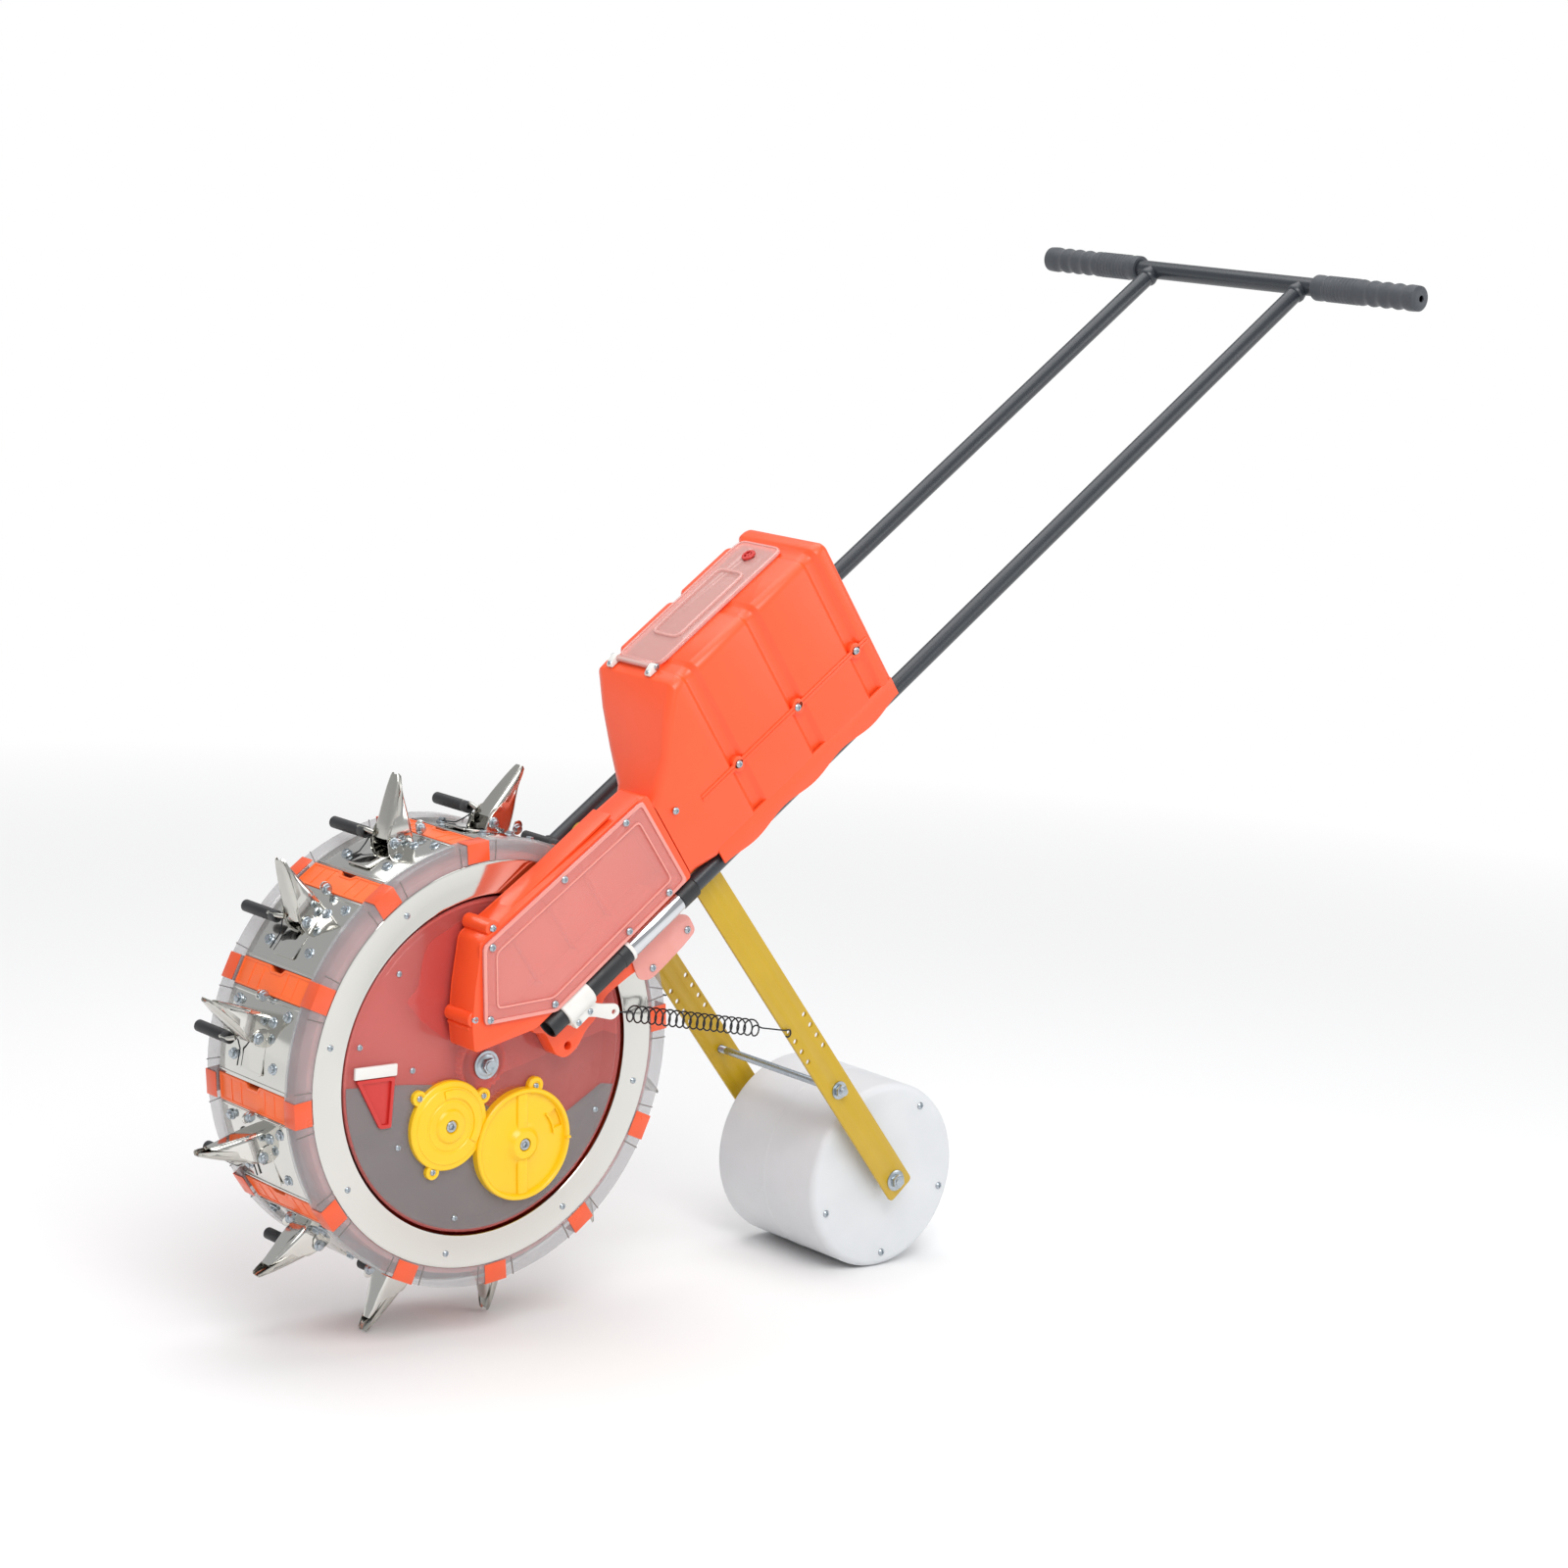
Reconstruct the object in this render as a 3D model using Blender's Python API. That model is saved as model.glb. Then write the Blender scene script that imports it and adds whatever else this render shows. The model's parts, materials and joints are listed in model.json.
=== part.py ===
# Hand-pushed rolling drum seeder: a drum with twelve duckbill beaks, an offset seed hopper and chute,
# a two-tube push handle and a sprung press roller that trails behind.
# Metres. +Z is up, +X runs from the drum to the handle, and the left side is -Y.
import bmesh
import bpy
from math import asin, atan2, cos, hypot, pi, radians, sin
from mathutils import Vector

# Fits
GAP = 0.0003  # between pieces that touch
RUN = 0.0006  # between pieces that turn past each other
MATE = 0.0010  # how far shapes that are joined into one reach into each other

# Axle
AXLE_R = 0.006
AXLE_BORE_R = AXLE_R + RUN + GAP
NUT_R = AXLE_R + 0.0045
NUT_FLANGE_R = NUT_R + 0.004
HUB_R = AXLE_R + 0.014

# Drum
DRUM_R = 0.241  # outside of the cover plates
DRUM_HALF = 0.0792  # half width over the side flanges
STRIP_HEIGHT = 0.0125
RIM_R = DRUM_R - STRIP_HEIGHT
RIM_WALL = 0.003
WEB = 0.004
WEB_Y = 0.030
BAND_WALL = 0.0031
BAND_FACE = DRUM_HALF + BAND_WALL
BAND_R = DRUM_R + 0.003
BAND_INNER_R = RIM_R - 0.0061
BAND_LIP = 0.0196  # how far a rim band reaches over the drum's edge
STRIP_HALF_WIDTH = BAND_FACE - BAND_LIP
STRIP_HALF_ANGLE = radians(3.67)
BEAKS = 12
PITCH = 2 * pi / BEAKS
ARC_STEPS = 4  # facets between two strips
STRIP_STEPS = 2

# Side discs, which stand still inside the side rings
RING_WIDTH = 0.0357
RING_WALL = 0.0015
RING_OUTER_R = BAND_INNER_R - GAP
RING_R = RING_OUTER_R - RING_WIDTH
FLANGE_R = RING_R + 0.0036
DISC_R = RING_R - 0.0034
DISC_WALL = 0.003
DISC_FACE = DRUM_HALF + 0.0016
NUT_FACE = DISC_FACE + 0.0117
HUB_HALF = DISC_FACE - DISC_WALL - 0.0023

# Beaks
BEAK_DEPTH = 0.0767  # from the cover plates to the tip
TIP_R = DRUM_R + BEAK_DEPTH
TIP_LAG = radians(6.9)
PIVOT_R = DRUM_R + 0.0095
PIVOT_LAG = radians(1.0)
PLATE = 0.002
SHEET = 0.0015  # thickness of the beaks' sheet steel
CHEEK_HALF = 0.0155
SCOOP_HALF = CHEEK_HALF - SHEET - 0.0005
SLEEVE_R = 0.0065
SLEEVE_START = CHEEK_HALF + 0.0025
SLEEVE_END = 0.080
FIRST_TIP = radians(-75)  # two tips share the ground, 15 degrees each side of straight down

# Gears behind the left disc
DRIVE_GEAR_R = 0.031
GEAR_WIDTH = 0.010
IDLER_OFFSET = 0.0771
IDLER_ANGLE = radians(-165.7)
IDLER_R = IDLER_OFFSET - DRIVE_GEAR_R - RUN
SEED_OFFSET = 0.1048
SEED_ANGLE = radians(-97.6)
SEED_WIDTH = 0.016
GEAR_PIN_R = 0.0045

# Covers on the left disc
METER_COVER_R = IDLER_R + 0.0035
SEED_BOX_RIM = 0.0037  # the seed box stands this far outside the seed wheel
COVER_DEPTH = 0.0115
EAR_R = 0.0085

# Press roller and arms
ROLLER_R = 0.110
ROLLER_HALF = 0.087
ROLLER_WALL = 0.004
ROLLER_FILLET = 0.006
ROLLER_AXLE_R = 0.006
ARM_WALL = 0.004
ARM_SIDE_GAP = 0.016  # from the roller, or from the drum if that is wider
ARM_Y = max(ROLLER_HALF, BAND_FACE) + ARM_SIDE_GAP + ARM_WALL / 2
ARM_HALF = 0.0195
ARM_LENGTH = 0.5187
ARM_NOSE = 0.022
ARM_HEEL = 0.0095  # past the pivot, at the arm's upper end
ARM_HEEL_HALF = 0.0070
ARM_SHOULDER = 0.0120
ARM_ROUNDING = 0.012
ARM_BEND_SHARE = 0.62
ARM_STUD_R = 0.004
ARM_T = 0.3245  # where the arms' pivot is along the handle tubes
CROSS_ROD_X = 0.3625
CROSS_ROD_R = 0.0045
ROD_END = 0.012  # how far the cross rod and its nuts stand outside the arms
ROD_NUT = 0.0065
ROD_NUT_R = 0.008
SPINDLE_END = 0.010
SPINDLE_HEAD = 0.0080
SPINDLE_HEAD_R = 0.0105
HOLE_ROW = 0.0137
HOLE_FIRST = 0.250
HOLE_PITCH = 0.017
HOLES = 4
HOLE_R = 0.003

# Handle
TILT = radians(36.7)
TUBE_RISE = 0.0084  # how far the tubes' axis passes above the axle
TUBE_R = 0.0101
TUBE_WALL = 0.0015
TUBE_FIT_R = TUBE_R + GAP
ARM_SPACER = 0.0064  # between an arm and its tube
TUBE_Y = ARM_Y + ARM_WALL / 2 + ARM_SPACER + TUBE_R
BAR_T = 1.420
BAR_R = 0.011
GRIP_WALL = 0.0048
GRIP_R = BAR_R + GRIP_WALL
GRIP_START = TUBE_Y + 0.0235
GRIP_END = 0.3085
BAR_HALF = GRIP_END - 0.002
SOCKET_START = 0.063
SOCKET_END = 0.188
SOCKET_R = TUBE_R + 0.0024
TUBE_START = SOCKET_START + 0.012
SLEEVE_TUBE_R = TUBE_R + 0.0019
SLEEVE_TUBE_END = SOCKET_END + 0.085
PAD_HALF = 0.010  # pads of the right disc under its tube
CLAMP_START = SOCKET_START + 0.022
CLAMP_END = CLAMP_START + 0.040
CLAMP_R = SOCKET_R + 0.0035
EAR_T = CLAMP_END + 0.015  # where the spring hooks on
EAR_N = -(CLAMP_R + 0.029)
EAR_WALL = 0.003

# Hopper, in the handle's axes above the tubes
HOPPER_LEFT = -(TUBE_Y + TUBE_R + 0.0059)
HOPPER_RIGHT = -0.005
HOPPER_FRONT = 0.3003
HOPPER_SHOULDER = HOPPER_FRONT + 0.0847
HOPPER_REAR = 0.638
HOPPER_TOP = 0.217
HOPPER_SEAM = 0.085
HOPPER_FLOOR = TUBE_R + 0.0024
HOPPER_WALL = 0.0025
NECK_TOP = 0.1195
NECK_WIDTH = 0.068
SKIRT_BOTTOM = -0.005
LID_FRONT = HOPPER_SHOULDER + 0.015
LID_REAR = HOPPER_REAR - 0.028
LID_LEFT = HOPPER_LEFT + 0.042
LID_RIGHT = HOPPER_RIGHT - 0.0205
LID_WALL = 0.003
LID_LAP = 0.006  # how far the lid laps over the edge of its opening
PIN_R = 0.0015
KNUCKLE_R = 0.0042

# Chute
CHUTE_FACE = -(TUBE_Y + 0.006)
CHUTE_BACK = -(BAND_FACE + 0.0037)
CHUTE_WALL = 0.0025
CHUTE_FLOOR = SOCKET_R + 0.001
CHUTE_END = HOPPER_FRONT - 0.0008
CRADLE_FACE = -(TUBE_Y - 0.017)
CRADLE_END = ARM_T - ARM_HALF - 0.021
COVER_WALL = 0.003
NECK_LEFT = CHUTE_FACE - 0.0005
NECK_RIGHT = NECK_LEFT + NECK_WIDTH

# Press springs
SPRING_R = 0.010
SPRING_WIRE = 0.0018
SPRING_LEAD = 0.022  # straight hook wire before the first turn
SPRING_TAIL = 0.052
HOOK_SHORT = 0.006  # the wire's straight part stops this far from the arm's hole
EAR_SHORT = 0.0135  # and this far from the clamp's


def finish(name, colour, roughness, metallic=0.0, see_through=0.0):
    made = bpy.data.materials.new(name)
    made.use_nodes = True
    shader = made.node_tree.nodes["Principled BSDF"]
    shader.inputs["Base Color"].default_value = (*colour, 1.0)
    shader.inputs["Roughness"].default_value = roughness
    shader.inputs["Metallic"].default_value = metallic
    shader.inputs["Transmission Weight"].default_value = see_through
    made.diffuse_color = (*colour, 1.0)
    return made


def frame(name, parent, at=(0, 0, 0), turn=0.0):
    """An empty. turn lifts its +X axis towards +Z."""
    made = bpy.data.objects.new(name, None)
    bpy.context.scene.collection.objects.link(made)
    made.parent = parent
    made.location = at
    made.rotation_euler = (0, -turn, 0)
    return made


def piece(name, mesh, look, parent, at=(0, 0, 0), turn=0.0):
    made = bpy.data.objects.new(name, mesh)
    bpy.context.scene.collection.objects.link(made)
    made.parent = parent
    made.location = at
    made.rotation_euler = (0, -turn, 0)
    mesh.materials.clear()
    mesh.materials.append(look)
    mesh.shade_smooth()
    mesh.set_sharp_from_angle(angle=radians(32))
    return made


def mesh_of(points, faces):
    made = bpy.data.meshes.new("shape")
    made.from_pydata(points, [], faces)
    made.update()
    return made


def loft(rings):
    """A closed skin over rings with the same number of points each, with a cap on both ends."""
    count = len(rings[0])
    faces = [tuple(range(count))[::-1]]
    for level in range(len(rings) - 1):
        low = level * count
        for i in range(count):
            j = (i + 1) % count
            faces.append((low + i, low + j, low + count + j, low + count + i))
    last = (len(rings) - 1) * count
    faces.append(tuple(range(last, last + count)))
    return mesh_of([point for section in rings for point in section], faces)


def signed_area(outline):
    turned = outline[1:] + outline[:1]
    return sum(a[0] * b[1] - b[0] * a[1] for a, b in zip(outline, turned)) / 2


def prism(outline, y0, y1):
    """An outline of (x, z) points made solid from y0 to y1."""
    if signed_area(outline) < 0:
        outline = outline[::-1]
    return loft([[(x, y1, z) for x, z in outline], [(x, y0, z) for x, z in outline]])


def block(x0, x1, y0, y1, z0, z1):
    return prism([(x0, z0), (x1, z0), (x1, z1), (x0, z1)], y0, y1)


def arc(x, z, radius, start, end, steps):
    angles = [start + (end - start) * i / steps for i in range(steps + 1)]
    return [(x + radius * cos(a), z + radius * sin(a)) for a in angles]


def circle(x, z, radius, steps):
    return arc(x, z, radius, 0, 2 * pi, steps)[:-1]


def even(steps):
    return [2 * pi * i / steps for i in range(steps)]


def ring(profile, angles):
    """A closed profile of (radius, y) points, turned about the Y axis through the given angles."""
    count = len(profile)
    area = signed_area(profile)
    if area < 0:
        profile = profile[::-1]
    points = [(r * cos(a), y, r * sin(a)) for a in angles for r, y in profile]
    faces = []
    for turn in range(len(angles)):
        here = turn * count
        there = (turn + 1) % len(angles) * count
        for i in range(count):
            j = (i + 1) % count
            faces.append((here + i, here + j, there + j, there + i))
    return mesh_of(points, faces)


def rod(x, z, radius, y0, y1, steps=16):
    return prism(circle(x, z, radius, steps), y0, y1)


def pipe(outer, inner, t0, t1, steps=16):
    """A tube along X."""
    made = ring([(inner, t0), (outer, t0), (outer, t1), (inner, t1)], even(steps))
    return along_x(made)


def along_x(mesh):
    """Turns a shape made about Y so that its Y axis lies along X."""
    for vertex in mesh.vertices:
        x, y, z = vertex.co
        vertex.co = (y, -x, z)
    return mesh


def moved(mesh, x=0.0, y=0.0, z=0.0):
    for vertex in mesh.vertices:
        vertex.co += Vector((x, y, z))
    return mesh


def swapped(mesh):
    """The same shape seen in a mirror across Y, with its faces still pointing out."""
    for vertex in mesh.vertices:
        vertex.co.y = -vertex.co.y
    mesh.flip_normals()
    return mesh


def together(meshes):
    """Shapes that don't touch, in one mesh."""
    made = bmesh.new()
    for mesh in meshes:
        made.from_mesh(mesh)
    joined = bpy.data.meshes.new("shapes")
    made.to_mesh(joined)
    made.free()
    return joined


def combine(base, operation, *tools):
    """base with each tool joined to it (UNION), cut from it (DIFFERENCE) or kept in common (INTERSECT)."""
    body = bpy.data.objects.new("body", base)
    bpy.context.scene.collection.objects.link(body)
    helpers = []
    for tool in tools:
        helper = bpy.data.objects.new("tool", tool)
        bpy.context.scene.collection.objects.link(helper)
        helpers.append(helper)
        step = body.modifiers.new("step", "BOOLEAN")
        step.operation = operation
        step.solver = "EXACT"
        step.object = helper
    graph = bpy.context.evaluated_depsgraph_get()
    made = bpy.data.meshes.new_from_object(body.evaluated_get(graph))
    for helper in [body, *helpers]:
        bpy.data.objects.remove(helper)
    return made


# Angles round the drum: a strip has its own facets, and so has the space between two strips.
def drum_angles():
    found = []
    space = PITCH - 2 * STRIP_HALF_ANGLE
    for beak in range(BEAKS):
        start = (beak + 0.5) * PITCH - STRIP_HALF_ANGLE
        found += [start + 2 * STRIP_HALF_ANGLE * i / STRIP_STEPS for i in range(STRIP_STEPS)]
        start += 2 * STRIP_HALF_ANGLE
        found += [start + space * i / ARC_STEPS for i in range(ARC_STEPS)]
    return found


def drum_wheel_mesh():
    """Hub, web, rim and side flanges in one moulding, with the drive gear's blank on the hub's left end."""
    flange_in = DRUM_HALF - RIM_WALL
    rim_in = RIM_R - RIM_WALL
    profile = [
        (AXLE_BORE_R, -HUB_HALF),
        (DRIVE_GEAR_R, -HUB_HALF),
        (DRIVE_GEAR_R, -HUB_HALF + GEAR_WIDTH),
        (HUB_R, -HUB_HALF + GEAR_WIDTH),
        (HUB_R, WEB_Y),
        (rim_in, WEB_Y),
        (rim_in, -flange_in),
        (FLANGE_R, -flange_in),
        (FLANGE_R, -DRUM_HALF),
        (RIM_R, -DRUM_HALF),
        (RIM_R, -STRIP_HALF_WIDTH),
        (RIM_R, STRIP_HALF_WIDTH),
        (RIM_R, DRUM_HALF),
        (FLANGE_R, DRUM_HALF),
        (FLANGE_R, flange_in),
        (rim_in, flange_in),
        (rim_in, WEB_Y + WEB),
        (HUB_R, WEB_Y + WEB),
        (HUB_R, HUB_HALF),
        (AXLE_BORE_R, HUB_HALF),
    ]
    shape = bmesh.new()
    shape.from_mesh(ring(profile, drum_angles()))
    strips = [face for face in shape.faces if on_strip(face.calc_center_median())]
    raised = bmesh.ops.extrude_face_region(shape, geom=strips)["geom"]
    bmesh.ops.delete(shape, geom=strips, context="FACES")
    for vertex in raised:
        if isinstance(vertex, bmesh.types.BMVert):
            vertex.co.x *= DRUM_R / RIM_R
            vertex.co.z *= DRUM_R / RIM_R
    made = bpy.data.meshes.new("drum")
    shape.to_mesh(made)
    shape.free()
    return made


def on_strip(point):
    """True for a point on the rim's outside where one of the raised strips stands."""
    turn = atan2(point.z, point.x) / PITCH - 0.5
    off_middle = abs(turn - round(turn)) * PITCH
    outside = hypot(point.x, point.z) > RIM_R - RIM_WALL / 2
    return outside and abs(point.y) < STRIP_HALF_WIDTH / 2 and off_middle < STRIP_HALF_ANGLE


def rim_band_mesh():
    """Clear lip over one edge of the drum: it laps the rim's outside and the side flange."""
    inner = RIM_R + GAP
    profile = [
        (BAND_INNER_R, DRUM_HALF + GAP),
        (BAND_INNER_R, BAND_FACE),
        (BAND_R, BAND_FACE),
        (BAND_R, STRIP_HALF_WIDTH + GAP),
        (inner, STRIP_HALF_WIDTH + GAP),
        (inner, DRUM_HALF + GAP),
    ]
    return ring(profile, drum_angles())


def side_ring_mesh():
    low = BAND_FACE - RING_WALL
    profile = [(RING_R, low), (RING_R, BAND_FACE), (RING_OUTER_R, BAND_FACE), (RING_OUTER_R, low)]
    return ring(profile, drum_angles())


# A beak station has X out along its own radius and Z towards the side that leads as the drum rolls.
def station_point(radius, lead):
    return radius * cos(lead), radius * sin(lead)


def beak_plate_mesh():
    """Curved cover plate with the fixed half of a beak: two cheeks and a back, open to the inside."""
    reach = PITCH / 2 - STRIP_HALF_ANGLE - GAP / DRUM_R
    base = DRUM_R - PLATE
    slab = prism(
        arc(0, 0, base, -reach, reach, ARC_STEPS) + arc(0, 0, DRUM_R, reach, -reach, ARC_STEPS),
        -STRIP_HALF_WIDTH + GAP,
        STRIP_HALF_WIDTH - GAP,
    )
    root = station_point(base + MATE, radians(-7.5))
    apex = station_point(DRUM_R + 0.059, radians(-7.5))
    front = (DRUM_R + 0.015, 0.0000)
    toe = (DRUM_R + 0.0025, 0.0030)
    heel = (base + MATE, 0.0030)
    wedge = prism([root, apex, front, toe, heel], -CHEEK_HALF, CHEEK_HALF)
    lean = (apex[1] - root[1]) / (apex[0] - root[0])
    low_x = base - 0.006
    high_x = DRUM_R + 0.079
    back_low = root[1] + SHEET + lean * (low_x - root[0])
    back_high = root[1] + SHEET + lean * (high_x - root[0])
    throat = [
        (low_x, back_low),
        (low_x, -0.006),
        (DRUM_R + SHEET, -0.006),
        (DRUM_R + SHEET, 0.020),
        (high_x, 0.020),
        (high_x, back_high),
    ]
    mouth = prism(throat, -CHEEK_HALF + SHEET, CHEEK_HALF - SHEET)
    return combine(combine(slab, "UNION", wedge), "DIFFERENCE", mouth)


def beak_lever_mesh():
    """Moving half of a beak, about its pivot: the scoop, the bent bar and the soft sleeve."""
    px, pz = station_point(PIVOT_R, -PIVOT_LAG)
    bx, bz = station_point(DRUM_R + 0.022, radians(-0.8))
    tx, tz = station_point(TIP_R, -TIP_LAG)
    base = (bx - px, bz - pz)
    tip = (tx - px, tz - pz)
    lip = [(base[0] - 0.003, base[1] + 0.0045), (base[0] + 0.0015, base[1] + 0.0040)]
    outline = [(-0.005, -0.005), (-0.005, 0.0035), *lip, tip, (tip[0] - 0.035, tip[1] + 0.004)]
    length = hypot(tip[0] - base[0], tip[1] - base[1])
    inward = (-(base[1] - tip[1]) / length * SHEET, (base[0] - tip[0]) / length * SHEET)
    run = ((tip[0] - base[0]) / length, (tip[1] - base[1]) / length)
    start = (base[0] + inward[0] - run[0] * 0.030, base[1] + inward[1] - run[1] * 0.030)
    stop = (tip[0] + inward[0] + run[0] * 0.020, tip[1] + inward[1] + run[1] * 0.020)
    hollow = [start, stop, (stop[0], stop[1] - 0.040), (start[0], start[1] - 0.060)]
    body = prism(outline, -SCOOP_HALF, SCOOP_HALF)
    body = combine(body, "DIFFERENCE", prism(hollow, -SCOOP_HALF + SHEET, SCOOP_HALF - SHEET))
    shoulder = tip[0] - 0.016
    plan = [
        (-0.020, -0.020),
        (shoulder, -0.020),
        (shoulder, -SCOOP_HALF),
        (tip[0] - 0.005, -0.0085),
        (tip[0] + MATE / 2, -0.003),
        (tip[0] + MATE / 2, 0.003),
        (tip[0] - 0.005, 0.0085),
        (shoulder, SCOOP_HALF),
        (shoulder, 0.020),
        (-0.020, 0.020),
    ]
    trim = loft([[(x, y, -0.060) for x, y in plan], [(x, y, 0.040) for x, y in plan]])
    body = combine(body, "INTERSECT", trim)
    bar = block(
        base[0] - 0.0020, base[0] + 0.0012, SCOOP_HALF - 0.004, SLEEVE_START + 0.004,
        base[1] + 0.0008, base[1] + 0.0052,
    )
    sleeve = rod(base[0] - 0.003, base[1] + 0.0073, SLEEVE_R, SLEEVE_START, SLEEVE_END, 10)
    return combine(body, "UNION", bar, sleeve)


def drum_pieces(machine, looks):
    turn = FIRST_TIP + TIP_LAG
    axis = frame("drum_axis", machine, turn=turn)
    piece("drum_wheel", drum_wheel_mesh(), looks["orange"], axis)
    piece("rim_band_right", rim_band_mesh(), looks["clear"], axis)
    piece("rim_band_left", swapped(rim_band_mesh()), looks["clear"], axis)
    piece("side_ring_right", side_ring_mesh(), looks["bright"], axis)
    piece("side_ring_left", swapped(side_ring_mesh()), looks["bright"], axis)
    plate = beak_plate_mesh()
    lever = beak_lever_mesh()
    for beak in range(BEAKS):
        angle = beak * PITCH
        piece(f"beak_plate_{beak + 1:02d}", plate, looks["bright"], axis, turn=angle)
        station = frame(f"beak_station_{beak + 1:02d}", axis, turn=angle)
        px, pz = station_point(PIVOT_R, -PIVOT_LAG)
        piece(f"beak_lever_{beak + 1:02d}", lever, looks["steel"], station, at=(px, 0, pz))


def polar(offset, angle):
    return offset * cos(angle), offset * sin(angle)


def seed_wheel_radius():
    """The idler meets the drive gear, and the seed wheel meets the idler."""
    ix, iz = polar(IDLER_OFFSET, IDLER_ANGLE)
    sx, sz = polar(SEED_OFFSET, SEED_ANGLE)
    return hypot(sx - ix, sz - iz) - IDLER_R - RUN


def gear_ring(bore, radius, start, width, steps):
    profile = [(bore, start), (radius, start), (radius, start + width), (bore, start + width)]
    return ring(profile, even(steps))


def gear_pieces(handle, looks):
    inner_face = -(DISC_FACE - DISC_WALL) + RUN
    bore = GEAR_PIN_R + RUN
    ix, iz = polar(IDLER_OFFSET, IDLER_ANGLE)
    sx, sz = polar(SEED_OFFSET, SEED_ANGLE)
    start = inner_face + RUN
    idler = gear_ring(bore, IDLER_R, start, GEAR_WIDTH, 32)
    piece("idler_gear", idler, looks["yellow"], handle, at=(ix, 0, iz))
    seed = gear_ring(bore, seed_wheel_radius(), start, SEED_WIDTH, 36)
    piece("seed_wheel", seed, looks["yellow"], handle, at=(sx, 0, sz))


def side_disc_mesh(steps=48):
    hole = AXLE_R + GAP
    low = DISC_FACE - DISC_WALL
    return ring([(hole, low), (DISC_R, low), (DISC_R, DISC_FACE), (hole, DISC_FACE)], even(steps))


def side_pieces(handle, looks):
    low = DISC_FACE - DISC_WALL
    ix, iz = polar(IDLER_OFFSET, IDLER_ANGLE)
    sx, sz = polar(SEED_OFFSET, SEED_ANGLE)
    pins = [
        rod(ix, iz, GEAR_PIN_R, -low - MATE, -low + GEAR_WIDTH + 0.004, 12),
        rod(sx, sz, GEAR_PIN_R, -low - MATE, -low + SEED_WIDTH + 0.004, 12),
    ]
    left = combine(swapped(side_disc_mesh()), "UNION", *pins)
    piece("side_disc_left", left, looks["rose"], handle)

    # The right disc carries its tube on two pads, as the chute's cradle does on the left.
    pad_end = TUBE_Y - SOCKET_R - GAP
    pad_low, pad_high = TUBE_RISE - PAD_HALF, TUBE_RISE + PAD_HALF
    pads = [
        block(SOCKET_START + 0.004, CLAMP_START - 0.004, low + MATE, pad_end, pad_low, pad_high),
        block(CLAMP_END + 0.004, SOCKET_END - 0.022, low + MATE, pad_end, pad_low, pad_high),
    ]
    piece("side_disc_right", combine(side_disc_mesh(), "UNION", *pads), looks["rose"], handle)

    nut_start = DISC_FACE + GAP
    flange_end = nut_start + 0.002
    axle = rod(0, 0, AXLE_R, -nut_start - MATE, nut_start + MATE, 20)
    ends = []
    for y0, y1, y2 in ((-NUT_FACE, -flange_end, -nut_start), (nut_start, flange_end, NUT_FACE)):
        flange = (y1, y2) if y0 < 0 else (y0, y1)
        hexagon = (y0, y1 + MATE / 2) if y0 < 0 else (y1 - MATE / 2, y2)
        ends.append(rod(0, 0, NUT_FLANGE_R, *flange, 20))
        ends.append(rod(0, 0, NUT_R, *hexagon, 6))
    piece("axle", combine(axle, "UNION", *ends), looks["zinc"], handle)

    front = -DISC_FACE - GAP
    cover = rod(ix, iz, METER_COVER_R, front - COVER_DEPTH + 0.003, front, 32)
    parts = [rod(ix, iz, 0.017, front - COVER_DEPTH, front - 0.004, 20)]
    for angle in (radians(103), radians(-5), radians(-146)):
        ex, ez = polar(METER_COVER_R + 0.003, angle)
        parts.append(rod(ix + ex, iz + ez, EAR_R, front - 0.0055, front - 0.0002, 14))
    piece("meter_cover", combine(cover, "UNION", *parts), looks["yellow"], handle)

    box_r = seed_wheel_radius() + SEED_BOX_RIM
    box = rod(sx, sz, box_r, front - COVER_DEPTH + 0.002, front, 36)
    tab_x, tab_z = polar(box_r + 0.002, radians(41))
    tab = rod(sx + tab_x, sz + tab_z, 0.010, front - 0.0065, front - 0.0002, 10)
    boss = rod(sx, sz, 0.015, front - COVER_DEPTH, front - 0.004, 20)
    # The two housings lie side by side; the seed box gives way where they would meet.
    away = rod(ix, iz, METER_COVER_R + RUN, front - 2 * COVER_DEPTH, front + 0.002, 32)
    box = combine(combine(box, "UNION", tab, boss), "DIFFERENCE", away)
    piece("seed_box", box, looks["yellow"], handle)


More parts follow.
